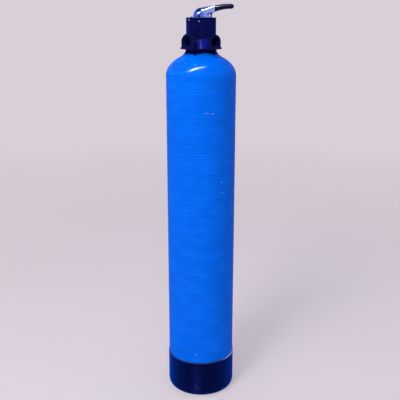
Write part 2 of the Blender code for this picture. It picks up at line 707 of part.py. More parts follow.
def make_stem(look, lever):
    """Rotor plate and stem in one, with a square drive below and a flat for the grub screw above."""
    base = ROTOR_BASE - CAP_TOP
    top = base + ROTOR
    outline = [(0.0, base), (ROTOR_RADIUS, base), (ROTOR_RADIUS, top - EDGE), (ROTOR_RADIUS - EDGE, top)]
    outline += [(STEM_RADIUS, top), (STEM_RADIUS, STEM_RISE - EDGE), (STEM_RADIUS - EDGE, STEM_RISE)]
    outline.append((0.0, STEM_RISE))
    stem = turned("rotor_stem", outline, look, lever, TUBE_SIDES)
    bm = bmesh.new()
    half = DRIVE_SQUARE / 2
    foot = MOVING_BASE + DISC - DRIVE_DEPTH - CAP_TOP
    add_box(bm, (-half, -half, foot), (half, half, base + ROTOR / 2))
    combine(stem, add_object("stem_drive", bm, parent=lever), "UNION")
    bm = bmesh.new()
    edge = -STEM_RADIUS + STEM_FLAT
    low = (-STEM_RADIUS, -STEM_RADIUS - OVERCUT, LEVER_LIFT)
    add_box(bm, low, (STEM_RADIUS, edge, STEM_RISE + OVERCUT), GRUB_TURN)
    combine(stem, add_object("stem_flat", bm, parent=lever))
    return stem


def make_cap(look, valve):
    """Cap with a spigot in the chamber, glands for the stem seals and a seat for the dial ring."""
    flange = BODY_HEIGHT + GAP
    gland = STEM_BORE + 2 * STEM_SEAL + GAP
    half = STEM_SEAL + GAP
    seal_floor = CAP_FIT_RADIUS - 2 * CAP_SEAL
    rebate = CAP_SEAL_HEIGHT - CAP_SEAL - GAP
    dial_floor = CAP_TOP - DIAL - GAP
    outline = [(STEM_BORE, CAP_BASE), (CAP_FIT_RADIUS, CAP_BASE), (CAP_FIT_RADIUS, rebate)]
    outline += [(seal_floor, rebate), (seal_floor, flange), (BODY_RADIUS, flange)]
    outline += [(BODY_RADIUS, CAP_TOP - EDGE), (BODY_RADIUS - EDGE, CAP_TOP), (DIAL_OUTER + GAP, CAP_TOP)]
    outline += [(DIAL_OUTER + GAP, dial_floor), (DIAL_INNER - GAP, dial_floor), (DIAL_INNER - GAP, CAP_TOP)]
    outline.append((STEM_BORE, CAP_TOP))
    height = STEM_SEAL_HEIGHT
    outline += [(STEM_BORE, height + half), (gland, height + half), (gland, height - half)]
    outline.append((STEM_BORE, height - half))
    cap = turned("valve_cap", outline, look, valve, VALVE_SIDES)
    combine(cap, screw_holes("cap_screw_holes", SCREW_RADIUS + GAP, BODY_HEIGHT, CAP_TOP, valve))
    floor = CAP_TOP - SCREW_HEAD - GAP
    seats = screw_holes("cap_screw_seats", SCREW_HEAD_RADIUS + GAP, floor + OVERCUT / 2, CAP_TOP, valve)
    combine(cap, seats)
    return cap


def make_cap_screws(look, valve):
    """Six screws sunk in the cap, which pass into the body wall."""
    foot = BODY_HEIGHT - SCREW_LENGTH
    head = CAP_TOP - SCREW_HEAD
    outline = [(0.0, foot), (SCREW_RADIUS, foot), (SCREW_RADIUS, head), (SCREW_HEAD_RADIUS, head)]
    outline += [(SCREW_HEAD_RADIUS, CAP_TOP), (0.0, CAP_TOP)]
    for i in range(CAP_SCREWS):
        screw = turned(f"cap_screw_{i + 1}", outline, look, valve, SMALL_SIDES)
        screw.location = around(SCREW_RING, math.tau * i / CAP_SCREWS, 0.0)


def make_dial(look, valve):
    """Ring round the hub, with a stop at each end of the lever's travel."""
    base = CAP_TOP - DIAL
    dial = plate("dial_ring", DIAL_OUTER, base, DIAL, look, valve, DIAL_INNER)
    reach = math.asin((PIN_RADIUS + STOP_WIDTH / 2) / PIN_DISTANCE) + STOP_SLACK
    low = (PIN_DISTANCE - STOP_LENGTH / 2, -STOP_WIDTH / 2, base + DIAL / 2)
    high = (PIN_DISTANCE + STOP_LENGTH / 2, STOP_WIDTH / 2, CAP_TOP + STOP_HEIGHT)
    bm = bmesh.new()
    for azimuth in (LEVER_REST + reach, LEVER_REST - LEVER_TRAVEL - reach):
        add_box(bm, low, high, azimuth)
    combine(dial, add_object("dial_stops", bm, parent=valve), "UNION")
    return dial


# Seals

STEM_SEAL_HEIGHT = (CAP_BASE + CAP_TOP - DIAL) / 2
CAP_SEAL_HEIGHT = BODY_HEIGHT - CAP_SEAL


def seal_ring(name, centre_radius, height, section, look, valve, sides=TUBE_SIDES):
    """An O-ring."""
    turns = [math.tau * i / SEAL_SIDES for i in range(SEAL_SIDES)]
    outline = [(centre_radius + section * math.cos(a), height + section * math.sin(a)) for a in turns]
    return turned(name, outline, look, valve, sides)


def make_seals(look, valve):
    neck_height = -SEAL_SEAT_DEPTH / 2
    seal_ring("neck_seal", THREAD_RADIUS + SEAL_SEAT_WIDTH / 2, neck_height, NECK_SEAL, look, valve)
    seal_ring("riser_seal", RISER_HOLE + RISER_SEAL, SEAL_LIFT, RISER_SEAL, look, valve)
    seal_ring("cap_seal", CAP_FIT_RADIUS - CAP_SEAL, CAP_SEAL_HEIGHT, CAP_SEAL, look, valve, VALVE_SIDES)
    seal_ring("stem_seal", STEM_BORE + STEM_SEAL, STEM_SEAL_HEIGHT, STEM_SEAL, look, valve)


# Lever. Its own frame has +X along the lever and -Y towards the front


def arm_section(share):
    """Section of the arm: a keel below, a flat on each side and a crown above."""
    at = max(share, 0.0)
    half = mix(HUB_RADIUS - EDGE, ARM_END_HALF_WIDTH, at)
    keel, low = mix(ARM_START_KEEL, ARM_END_KEEL, at), mix(ARM_START_LOW, ARM_END_LOW, at)
    high = mix(ARM_START_HIGH, ARM_END_HIGH, at)
    top = mix(HUB_HEIGHT, ARM_END_TOP, at) + ARM_BOW * 4 * at * (1 - at)
    turns = spread(-math.pi / 2, math.pi / 2, 4)
    keel_arc = [(half * math.sin(a), low - (low - keel) * math.cos(a)) for a in turns]
    crown = [(half * math.cos(a), high + (top - high) * math.sin(a)) for a in spread(0.0, math.pi, 8)]
    reach = share * ARM_REACH
    return [(reach, across, up) for across, up in keel_arc + crown]


def arm_root():
    """The first section, drawn in so that the arm grows out of the hub."""
    shrink = (HUB_RADIUS - HUB_WALL) / HUB_RADIUS
    return [(ARM_ROOT, across * shrink, up * shrink + LEVER_LIFT) for _, across, up in arm_section(0.0)]


def grip_section(share, scale=1.0, reach=None):
    """Oval section of the grip, which arches up along its length."""
    rise = 1 - (1 - share) ** 2
    half = mix(GRIP_START_HALF_WIDTH, GRIP_END_HALF_WIDTH, rise)
    bottom, top = mix(GRIP_START_BOTTOM, GRIP_END_BOTTOM, rise), mix(GRIP_START_TOP, GRIP_END_TOP, rise)
    middle, tall = (bottom + top) / 2, (top - bottom) / 2 * scale
    turns = [math.tau * i / GRIP_SIDES for i in range(GRIP_SIDES)]
    x = ARM_REACH + GAP + share * GRIP_LENGTH if reach is None else reach
    return [(x, half * scale * math.cos(a), middle + tall * math.sin(a)) for a in turns]


def grip_middle(share):
    rise = 1 - (1 - share) ** 2
    return mix(GRIP_START_BOTTOM + GRIP_START_TOP, GRIP_END_BOTTOM + GRIP_END_TOP, rise) / 2


def tang_span(extra):
    """The straight rod that carries the grip, from inside the arm outwards."""
    start = Vector((ARM_REACH - 2 * TANG_RADIUS, 0.0, grip_middle(0.0)))
    far = Vector((ARM_REACH + GRIP_LENGTH * TANG_SHARE, 0.0, grip_middle(TANG_SHARE)))
    along = (far - start).normalized()
    return start, start + along * (TANG_LENGTH + extra)


def grub_point(reach, across=0.0, height=GRUB_HEIGHT):
    """Point that far out along the grub screw and across it, on the lever's front."""
    return Matrix.Rotation(GRUB_TURN, 3, "Z") @ Vector((across, -reach, height))


def arch_section(reach):
    """Section of the arched opening in the hub's skirt, which the grub screw is reached through."""
    crown = [(math.cos(a), math.sin(a)) for a in spread(0.0, math.pi, ARCH_STEPS)]
    outline = [(ARCH_HALF_WIDTH * x, ARCH_SPRING + ARCH_HALF_WIDTH * y) for x, y in crown]
    outline += [(-ARCH_HALF_WIDTH, LEVER_LIFT - OVERCUT), (ARCH_HALF_WIDTH, LEVER_LIFT - OVERCUT)]
    return [grub_point(reach, across, height) for across, height in outline]


def make_lever(look, lever):
    outline = [(0.0, LEVER_LIFT), (HUB_RADIUS + HUB_BEAD, LEVER_LIFT)]
    outline.append((HUB_RADIUS + HUB_BEAD, LEVER_LIFT + HUB_BEAD_HEIGHT))
    for angle in spread(HUB_SPRING_ANGLE, math.pi / 2, DOME_STEPS + 1):
        outline.append((HUB_RADIUS * math.cos(angle), HUB_HEIGHT * math.sin(angle)))
    outline[-1] = (0.0, HUB_HEIGHT)
    sections = [arm_root()] + [arm_section(s) for s in spread(0.0, 1.0, ARM_STEPS)]
    arm = lofted("lever_arm", sections, parent=lever)
    hub = turned("handle_lever", outline, look, lever, VALVE_SIDES)
    combine(hub, arm, "UNION")

    hollow_top = LEVER_LIFT + HUB_HOLLOW
    wide = HUB_RADIUS - HUB_WALL
    hollow = [(HUB_BOSS, LEVER_LIFT - OVERCUT), (wide, LEVER_LIFT - OVERCUT), (wide, LEVER_LIFT)]
    hollow += [(wide - HUB_WALL, hollow_top), (HUB_BOSS, hollow_top)]
    combine(hub, turned("hub_hollow", hollow, parent=lever, sides=TUBE_SIDES))
    socket = [((0.0, 0.0, LEVER_LIFT - OVERCUT), (0.0, 0.0, STEM_RISE + GAP))]
    combine(hub, cylinders("stem_socket", STEM_BORE, socket, parent=lever, sides=TUBE_SIDES))
    combine(hub, cylinders("lever_tang", TANG_RADIUS, [tang_span(0.0)], parent=lever), "UNION")
    arch = [arch_section(reach) for reach in (wide - HUB_WALL, HUB_RADIUS + OVERCUT)]
    combine(hub, lofted("grub_access", arch, parent=lever))
    thread = [(grub_point(0.0), grub_point(HUB_BOSS + OVERCUT))]
    combine(hub, cylinders("grub_thread", GRUB_RADIUS + GAP, thread, parent=lever))
    pin_seat = [((PIN_DISTANCE, 0.0, 0.0), (PIN_DISTANCE, 0.0, PIN_LIFT + PIN_LENGTH + GAP))]
    combine(hub, cylinders("pin_seat", PIN_RADIUS + GAP, pin_seat, parent=lever))
    return hub


def make_grip(look, lever):
    grip = lofted("lever_grip", [grip_section(s) for s in spread(0.0, 1.0, GRIP_STEPS)], look, lever)
    combine(grip, cylinders("tang_hole", TANG_RADIUS + GAP, [tang_span(GAP)], parent=lever))
    end = ARM_REACH + GAP + GRIP_LENGTH
    height = grip_middle(1.0)
    seat = [((end - END_CAP_SPIGOT - GAP, 0.0, height), (end + OVERCUT, 0.0, height))]
    combine(grip, cylinders("spigot_hole", END_CAP_SPIGOT_RADIUS + GAP, seat, parent=lever))
    return grip


def make_end_cap(look, lever):
    """Rounded plug at the end of the grip, on a spigot."""
    base = ARM_REACH + 2 * GAP + GRIP_LENGTH
    turns = spread(0.0, END_CAP_ROUND, 3)
    sections = [grip_section(1.0, math.cos(a), base + END_CAP_LENGTH * math.sin(a)) for a in turns]
    cap = lofted("grip_end_cap", sections, look, lever)
    height = grip_middle(1.0)
    spigot = [((base - END_CAP_SPIGOT, 0.0, height), (base + END_CAP_LENGTH / 2, 0.0, height))]
    combine(cap, cylinders("cap_spigot", END_CAP_SPIGOT_RADIUS, spigot, parent=lever), "UNION")
    return cap


def make_lever_fasteners(looks, lever):
    pin = [((PIN_DISTANCE, 0.0, PIN_LIFT), (PIN_DISTANCE, 0.0, PIN_LIFT + PIN_LENGTH))]
    cylinders("position_pin", PIN_RADIUS, pin, looks["chrome"], lever)
    grub = [(grub_point(STEM_RADIUS - STEM_FLAT + GAP), grub_point(HUB_BOSS))]
    cylinders("grub_screw", GRUB_RADIUS, grub, looks["steel"], lever)


def make_looks():
    return {
        "blue": material("winding_blue", (0.003, 0.145, 0.86), 0.35),
        "black": material("moulded_black", (0.004, 0.007, 0.06), 0.35),
        "liner": material("liner_white", (0.7, 0.72, 0.7), 0.5),
        "pipe": material("riser_white", (0.75, 0.76, 0.75), 0.45),
        "strainer": material("strainer_grey", (0.35, 0.36, 0.38), 0.5),
        "carbon": material("carbon_black", (0.012, 0.012, 0.013), 0.9),
        "gravel": material("gravel_tan", (0.36, 0.30, 0.22), 0.9),
        "rubber": material("seal_rubber", (0.01, 0.01, 0.01), 0.7),
        "ceramic": material("disc_ceramic", (0.8, 0.79, 0.76), 0.25),
        "nylon": material("washer_nylon", (0.75, 0.74, 0.7), 0.5),
        "brass": material("stem_brass", (0.62, 0.44, 0.16), 0.3, 1.0),
        "steel": material("screw_steel", (0.5, 0.5, 0.52), 0.3, 1.0),
        "chrome": material("lever_chrome", (0.55, 0.62, 0.85), 0.12, 1.0),
        "grip": material("grip_black", (0.004, 0.005, 0.03), 0.2),
        "dial": material("dial_grey", (0.25, 0.27, 0.33), 0.5),
    }


def main():
    for old in list(bpy.data.objects):
        bpy.data.objects.remove(old)
    looks = make_looks()
    valve = add_empty("valve_axis", TANK_HEIGHT)
    lever = add_empty("lever_axis", CAP_TOP, LEVER_REST, valve)
    make_winding(looks["blue"])
    make_liner(looks["liner"])
    make_collar(looks["black"])
    make_boot(looks["black"])
    make_riser(looks["pipe"])
    make_bottom_strainer(looks["strainer"])
    make_gravel(looks["gravel"])
    make_carbon(looks["carbon"])
    make_top_strainer(looks["strainer"], valve)
    make_valve_body(looks["black"], valve)
    make_disc_stack(looks, valve, lever)
    make_cap(looks["black"], valve)
    make_cap_screws(looks["steel"], valve)
    make_dial(looks["dial"], valve)
    make_seals(looks["rubber"], valve)
    make_lever(looks["chrome"], lever)
    make_grip(looks["grip"], lever)
    make_end_cap(looks["grip"], lever)
    make_lever_fasteners(looks, lever)


main()
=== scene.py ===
"""Looks of the carbon filter tank: wound shell, moulded boot and valve, plated lever, studio and camera."""

from math import acos, asin, atan2, cos, hypot, pi, radians, sin, tan, tau

import bmesh
import bpy
import numpy as np
from mathutils import Matrix, Vector


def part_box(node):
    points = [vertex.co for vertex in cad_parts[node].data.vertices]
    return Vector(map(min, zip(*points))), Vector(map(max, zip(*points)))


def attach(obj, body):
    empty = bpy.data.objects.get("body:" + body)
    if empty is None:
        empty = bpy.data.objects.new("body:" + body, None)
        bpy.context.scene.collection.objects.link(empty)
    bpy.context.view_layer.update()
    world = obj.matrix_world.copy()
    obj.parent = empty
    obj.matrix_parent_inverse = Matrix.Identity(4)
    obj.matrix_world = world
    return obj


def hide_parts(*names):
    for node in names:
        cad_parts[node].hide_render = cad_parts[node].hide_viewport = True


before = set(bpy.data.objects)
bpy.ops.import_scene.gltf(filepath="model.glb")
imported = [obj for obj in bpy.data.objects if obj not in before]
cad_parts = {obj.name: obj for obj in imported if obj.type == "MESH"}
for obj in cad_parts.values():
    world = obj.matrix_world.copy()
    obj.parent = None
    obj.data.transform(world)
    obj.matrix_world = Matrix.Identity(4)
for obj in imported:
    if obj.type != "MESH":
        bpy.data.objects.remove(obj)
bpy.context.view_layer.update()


def low(node, axis):
    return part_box(node)[0][axis]


def high(node, axis):
    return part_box(node)[1][axis]


# Faceting
ROUND = 128
VALVE_ROUND = 96
PILLAR_ROUND = 64
PORT_ROUND = 48
SMALL_ROUND = 32
PIP_ROUND = 12
GRIP_ROUND = 48
RING_STEP = 0.0016

# Room between pieces, and how far a cutter reaches past what it cuts
GAP = 0.0003
OVERCUT = 0.004

# Camera
CAMERA_AZIMUTH = radians(-45)
CAMERA_DISTANCE = 2.466
CAMERA_HEIGHT = 1.488
CAMERA_LENS = 59.94
AIM_HEIGHT = 0.7765
AIM_SIDE = -0.0038

# Vessel, read from the frame where a node's box gives it
TANK_RADIUS = high("tank_winding", 0)
NECK_TOP = high("neck_collar", 2)
TANK_LIFT = low("tank_winding", 2)
DOME_RISE = 0.084
NECK_STAND = 0.012
NECK_RADIUS = 0.0555
FLARE_RADIUS = 0.08
PAINT_EDGE = 0.52
TOP_EQUATOR = NECK_TOP - NECK_STAND - DOME_RISE
LOW_EQUATOR = TANK_LIFT + DOME_RISE
FLARE_ANGLE = acos(FLARE_RADIUS / TANK_RADIUS)
SHELL_LAP = 0.003
SHELL_ROOF = 0.03
NECK_EDGE = 0.0012
NECK_WALL = 0.0036
NECK_ROOT_WALL = 0.009
NECK_RING_WALL = 0.008
SEAL_ROOM = 0.0006
SEAL_DROP = 0.0004

# Hoop winding: a helical groove between bands of filament
BAND = 0.0104
BAND_DEPTH = 0.0011
BAND_SAGS = ((0.00065, 2, 9, 0.0), (0.0004, 5, -31, 1.7), (0.00045, 3, 83, 0.6))
GROOVE_SHARPNESS = 2.4
SWELL_DEPTH = 0.00012
HOOP_FADE = 0.012
BOOT_FADE = 0.01
CROSSINGS = 80
CROSSING_CLIMB = 420.0

# Paint edge on the neck: how far it wanders, then azimuth, height and narrowness of each drip or rise
PAINT_WANDER = 0.0008
PAINT_RUNS = (
    (-65.0, -0.0042, 260), (3.0, -0.0034, 300), (-29.0, 0.0042, 14), (-95.0, 0.0012, 20),
    (40.0, -0.0014, 30), (75.0, -0.003, 200), (112.0, 0.0026, 10), (160.0, -0.0036, 240),
    (205.0, 0.002, 16), (236.0, -0.0026, 180),
)

# Small marks: azimuth in degrees, height, width and how tall each is
# A dark streak on the dome's shoulder
WINDING_DARK_STREAK = ((-104.8, 1.2915, 0.0036, 0.012),)
# Painted glints: small pale highlights on the dome and the hoop winding
WINDING_GLINTS = (
    (-54.5, 0.181, 0.004, 0.001), (-53.0, 0.184, 0.003, 0.0008), (-26.0, 1.127, 0.0075, 0.0007),
    (-36.0, 1.131, 0.011, 0.0004), (-94.5, 1.3125, 0.0013, 0.0016), (-92.0, 1.3085, 0.0012, 0.0015),
    (-78.0, 1.3, 0.0011, 0.0014), (-57.5, 1.297, 0.0014, 0.0013), (-55.0, 1.2955, 0.0012, 0.0012),
    (-8.5, 0.875, 0.003, 0.0014), (-8.0, 0.835, 0.0026, 0.0014),
)
# Painted glints low on the boot's front
BOOT_GLINTS = (
    (-52.0, 0.041, 0.0024, 0.0026), (-54.0, 0.048, 0.0016, 0.003), (-50.0, 0.034, 0.002, 0.0024),
)
# Two small pale specks just under the valve cap's edge
VALVE_MARKS = ((-97.0, 0.1026, 0.003, 0.0026), (-52.0, 0.0974, 0.0018, 0.0018))

# Azimuths in degrees of the boot's painted sheen streak and of its painted rim highlight
BOOT_SHEEN_STREAK = -52.0
BOOT_RIM_HIGHLIGHT = 24.0

# Boot
BOOT_RADIUS = high("base_boot", 0)
BOOT_HEIGHT = high("base_boot", 2)
BOOT_INNER = TANK_RADIUS + GAP
BOOT_WALL = BOOT_RADIUS - BOOT_INNER
BOOT_FOOT = 0.004
BOOT_FOOT_WIDTH = 0.013
CORNER_REACH = 0.013
CORNER_RISE = 0.024
RING_RADIUS = 0.082
RING_WALL = 0.005
RING_LIFT = 0.002
BOOT_RIBS = 6
BOOT_RIB_WALL = 0.004
BOOT_RIB_DROP = 0.002
BOOT_RIB_INSET = 0.0012
BOOT_RIM = 0.004
BOOT_RIM_ROUND = BOOT_WALL * 0.45

# Valve body, up from the neck face
VALVE_FRAME = Matrix.Translation((0.0, 0.0, NECK_TOP))
SKIRT_LENGTH = 0.03
SKIRT_RADIUS = 0.0362
SKIRT_BORE = 0.0135
SKIRT_BORE_TOP = 0.03
FLANGE_RADIUS = 0.0755
FLANGE = 0.005
FLANGE_EDGE = 0.001
CORE_RADIUS = 0.046
SHOULDER_HEIGHT = 0.036
SHOULDER_DROP = 0.001
BODY_RADIUS = high("valve_cap", 0)
BODY_HEIGHT = 0.1035
BODY_EDGE = 0.0007
BODY_BEVEL = 0.0006
CHAMBER_RADIUS = 0.044
CHAMBER_FLOOR = 0.052
PORT_AZIMUTHS = {"inlet": pi, "drain": -pi / 2, "outlet": 0.0}
PORT_HEIGHT = 0.027
PORT_REACH = 0.0715
BOSS_HALF = 0.0292
BOSS_RISE = 0.0252
BOSS_ROOT = 0.03
BOSS_EDGE = 0.0012
PORT_RADIUS = 0.01665
MOUTH_RADIUS = 0.0205
MOUTH_DEPTH = 0.0035
PORT_DEPTH = 0.022
PORT_BORE = 0.0125
PORT_INNER_END = 0.0185
INLET_INNER_END = 0.0355
THREAD_PITCH = 0.0023
THREAD_HEIGHT = 0.0014
THREAD_STEPS = 40
THREAD_FADE = 20
THREAD_START = 0.001
THREAD_END = 0.003
THREAD_BITE = 0.0005
THREAD_FOOT = 0.42
THREAD_CREST = 0.08
PILLAR_DISTANCE = 0.052
PILLAR_SHIFT = 0.0058
PILLAR_HEAD_SHIFT = 0.0025
PILLAR_FOOT = 0.021
PILLAR_HEAD = 0.0125
PILLAR_HEIGHT = 0.036
FRONT_AZIMUTH = -pi / 4

# Cap and dial
CAP_TOP = high("valve_cap", 2) - NECK_TOP
CAP_PLUG = 0.018
CAP_FOOT_EDGE = 0.0005
CAP_EDGE = 0.0012
CAP_BEVEL = 0.0003
STEM_BORE = 0.0073
CAP_SCREWS = 6
SCREW_RING = 0.049
SCREW_RADIUS = 0.0034
SCREW_HEAD = 0.0026
SCREW_SEAT_CUT = 0.01
SCREW_SIDE_DROP = 0.0009
SCREW_CROWN_DROP = 0.0003
SCREW_BEVEL = 0.0001
SCREW_TURN = 0.3
CROSS_REACH = 0.0019
CROSS_HALF = 0.00045
CROSS_DEPTH = 0.0013
CROSS_CUT = 0.001
DIAL_INNER = 0.016
DIAL_OUTER = 0.044
DIAL = 0.0014
DIAL_BEVEL = 0.0004
STOP_HEIGHT = 0.0038
STOP_HALF_LENGTH = 0.0025
STOP_HALF_WIDTH = 0.002
STOP_PLAY = radians(2.0)
TICKS = 12
TICKS_TO_LONG = 6
TICK_OUTER = 0.0425
TICK_INNER = 0.0405
LONG_TICK_INNER = 0.0385
TICK_HALF = 0.0004
MARK_SINK = 0.0002
MARK_RISE = 0.0001
NUMBERS = 3
NUMBER_RADIUS = 0.0345
NUMBER_SIZE = 0.006
PIPS = 24
PIP_RADIUS = 0.0009
PIP_DROP = 0.0035
PIP_SINK = 0.0006
PIP_PROUD = 0.0004
PIP_TAPER = 0.6

# Lever, up from the cap and out along the lever
LEVER_REST = pi / 4
LEVER_TRAVEL = pi
LEVER_FRAME = Matrix.Translation((0.0, 0.0, NECK_TOP + CAP_TOP)) @ Matrix.Rotation(LEVER_REST, 4, "Z")
LEVER_LIFT = 0.001
HUB_RADIUS = 0.03
HUB_HEIGHT = 0.0345
HUB_WALL = 0.0038
HUB_HOLLOW = 0.013
HUB_BOSS = 0.0125
HUB_BEAD = 0.001
HUB_BEAD_HEIGHT = 0.003
HUB_BEAD_EDGE = 0.0008
HUB_FOOT_ANGLE = radians(7)
SOCKET_HEIGHT = 0.0148
LEVER_BEVEL = 0.0005
ARM_ROOT = -0.006
ARM_ROOT_INSET = 0.001
ARM_REACH = 0.048
ARM_END_HALF = 0.014
ARM_START = {"keel": 0.002, "low": 0.0028, "high": 0.0165}
ARM_END = {"keel": 0.0165, "low": 0.0257, "high": 0.0372, "top": 0.041}
ARM_BOW = 0.0008
GRIP_LENGTH = 0.057
GRIP_START = {"half_width": 0.013, "bottom": 0.0185, "top": 0.0415}
GRIP_END = {"half_width": 0.0106, "bottom": 0.0296, "top": 0.0472}
GRIP_EDGE_SCALE = 0.94
GRIP_EDGE_SHARE = 0.02
END_CAP_LENGTH = 0.0115
END_CAP_ANGLE = radians(86)
PIN_DISTANCE = 0.0365
PIN_RADIUS = 0.0042
PIN_LIFT = 0.0018
PIN_LENGTH = 0.0197
PIN_EDGE = 0.0006
GRUB_TURN = radians(-11.0)
ARCH_HALF = 0.0048
ARCH_SPRING = 0.0045

# Colours and gloss
WINDING_BLUE = (0.0, 0.14, 0.82)
DIPPED_BLACK = (0.0008, 0.003, 0.042)
# Painted highlight along the winding's crests and painted shade in its grooves: colour and share of each
CREST_HIGHLIGHT_BLUE = (0.006, 0.22, 1.0, 1.0)
CREST_HIGHLIGHT_SHARE = 0.55
GROOVE_PAINTED_SHADE = 0.42
# Dark blue of the painted shade just above the boot, also used for the dark streak on the dome
SEAM_SHADE_AND_STREAK_DARK = (0.0, 0.01, 0.1, 1.0)
# Pale blue of the painted glints on the winding
GLINT_BLUE = (0.45, 0.65, 1.0, 1.0)
DOME_GLOSS = 0.34
WALL_GLOSS = 0.09
CAST_BLUE = (0.0, 0.11, 1.0, 1.0)
VALVE_BLACK = (0.0018, 0.0038, 0.046)
MOTTLE_LIGHT = (0.006, 0.004, 0.085, 1.0)
MOTTLE_DARK = (0.0006, 0.0012, 0.014, 1.0)
# Lighter blue painted on the front boss as the light it catches
PILLAR_LIT_BLUE = (0.006, 0.009, 0.21, 1.0)
# Pale of the two specks under the cap's edge
SPECK_PALE = (0.8, 0.82, 1.0, 1.0)
BOOT_BLACK = (0.0006, 0.0016, 0.021)
# Blue of the painted sheen streak down the boot's front
SHEEN_STREAK_BLUE = (0.004, 0.008, 0.085, 1.0)
# Pale of the painted highlight along the boot's rim
RIM_HIGHLIGHT_PALE = (0.85, 0.88, 1.0, 1.0)
# Blue of the painted glints on the boot
BOOT_GLINT_BLUE = (0.05, 0.07, 0.3, 1.0)
CAP_BLACK = (0.0016, 0.0035, 0.046)
DIAL_DARK = (0.05, 0.055, 0.11)
PLAIN_WHITE = (0.75, 0.76, 0.75)
ZINC = (0.5, 0.5, 0.52)
# Plating blues: the hub's deeper blue and the arm's paler blue are painted reflections
HUB_REFLECTION_BLUE = (0.1, 0.19, 0.9)
ARM_REFLECTION_BLUE = (0.36, 0.52, 1.0)
GRIP_BLACK = (0.002, 0.003, 0.025)

# Studio
PALE = (0.69, 0.62, 0.68)
AMBIENT = 0.48
AMBIENT_COLOUR = (0.92, 0.95, 1.12)
CEILING = (0.05, 0.07, 0.13)
CEILING_START = 0.45
CEILING_END = 0.8
FLOOR_LIGHT = 0.76
FLOOR_BLUE = 0.93
FLOOR_SIZE = 60.0
FLOOR_DROP = 0.0005
FLOOR_SHARE = 0.45
FLOOR_NEAR = 1.2
FLOOR_FAR = 5.0
KEY = {"azimuth": radians(-75), "distance": 7.0, "height": 4.6, "size": (2.4, 3.6), "power": 270.0}
KEY_AIM = (0.0, 0.0, 0.75)
TUBE_POWER = 18.0
GLINT_POWER = 900.0
TUBE_WIDTH = 0.012
TUBE_ENDS = ((1.17, -1.44), (0.51, 0.26))
TUBE_HEIGHT = 2.78


# Geometry helpers


def spread(start, end, steps):
    return [start + (end - start) * i / steps for i in range(steps + 1)]


def mix(start, end, share):
    return start + (end - start) * share


def around(radius, azimuth, height):
    return Vector((radius * cos(azimuth), radius * sin(azimuth), height))


def bent(start, corner, end, share):
    """A point on the curve from a start to an end that is pulled toward a corner."""
    return start * (1 - share) ** 2 + corner * 2 * share * (1 - share) + end * share**2


def oval(half, rise, middle, turns):
    """Points (across, up) of an oval round a middle height."""
    return [(half * cos(turn), middle + rise * sin(turn)) for turn in turns]


def mesh_of(name, points, faces):
    mesh = bpy.data.meshes.new(name)
    mesh.from_pydata(points, [], faces)
    mesh.validate()
    return mesh


def walls(rows, count, closed=False):
    """Faces between rows of points, each row a closed loop, and back to the first row if closed."""
    faces = []
    for i in range(rows if closed else rows - 1):
        near, far = i * count, (i + 1) % rows * count
        for j in range(count):
            k = (j + 1) % count
            faces.append((near + j, near + k, far + k, far + j))
    return faces


def outward(mesh, merge=0.0):
    """The mesh with points closer than merge made one and its faces turned outward."""
    bm = bmesh.new()
    bm.from_mesh(mesh)
    if merge:
        bmesh.ops.remove_doubles(bm, verts=bm.verts, dist=merge)
    bmesh.ops.recalc_face_normals(bm, faces=bm.faces)
    bm.to_mesh(mesh)
    bm.free()
    return mesh


def poured(bm, name):
    """A mesh of what a bmesh holds."""
    mesh = bpy.data.meshes.new(name)
    bm.to_mesh(mesh)
    bm.free()
    return mesh


def placed(name, data):
    """An object of some data, in the scene."""
    made = bpy.data.objects.new(name, data)
    bpy.context.scene.collection.objects.link(made)
    return made


def spun(name, outline, sides=VALVE_ROUND, relief=None):
    """Mesh of (radius, height) points turned round Z; relief moves each one in or out."""
    radius, height = np.array(outline).T[:, :, None]
    angle = (np.arange(sides) / sides * tau)[None, :]
    flat = np.zeros_like(angle)
    shown = radius + flat
    if relief:
        shown = shown + relief(height, angle)
    grid = np.stack([shown * np.cos(angle), shown * np.sin(angle), height + flat], axis=-1)
    points = grid.reshape(-1, 3).tolist()
    faces = walls(len(outline), sides, closed=outline[0][0] > 0.0)
    return outward(mesh_of(name, points, faces), 1e-6)


def lofted(name, sections):
    """Mesh that joins closed sections of equal point count, with a face over each end."""
    count = len(sections[0])
    points = [tuple(point) for section in sections for point in section]
    last = (len(sections) - 1) * count
    ends = [tuple(range(count)), tuple(range(last, last + count))]
    return outward(mesh_of(name, points, walls(len(sections), count) + ends))


def cylinder(name, radius, start, end, sides=SMALL_ROUND, end_radius=None):
    start, end = Vector(start), Vector(end)
    axis = end - start
    place = Matrix.Translation((start + end) / 2) @ axis.to_track_quat("Z", "Y").to_matrix().to_4x4()
    bm = bmesh.new()
    far = radius if end_radius is None else end_radius
    bmesh.ops.create_cone(
        bm, cap_ends=True, segments=sides, radius1=radius, radius2=far, depth=axis.length, matrix=place
    )
    return poured(bm, name)


def block(name, low_corner, high_corner, turn=0.0):
    low_corner, high_corner = Vector(low_corner), Vector(high_corner)
    size = Matrix.Diagonal((*(high_corner - low_corner), 1.0))
    place = Matrix.Rotation(turn, 4, "Z") @ Matrix.Translation((low_corner + high_corner) / 2) @ size
    bm = bmesh.new()
    bmesh.ops.create_cube(bm, size=1.0, matrix=place)
    return poured(bm, name)


def moved(mesh, matrix):
    mesh.transform(matrix)
    return mesh


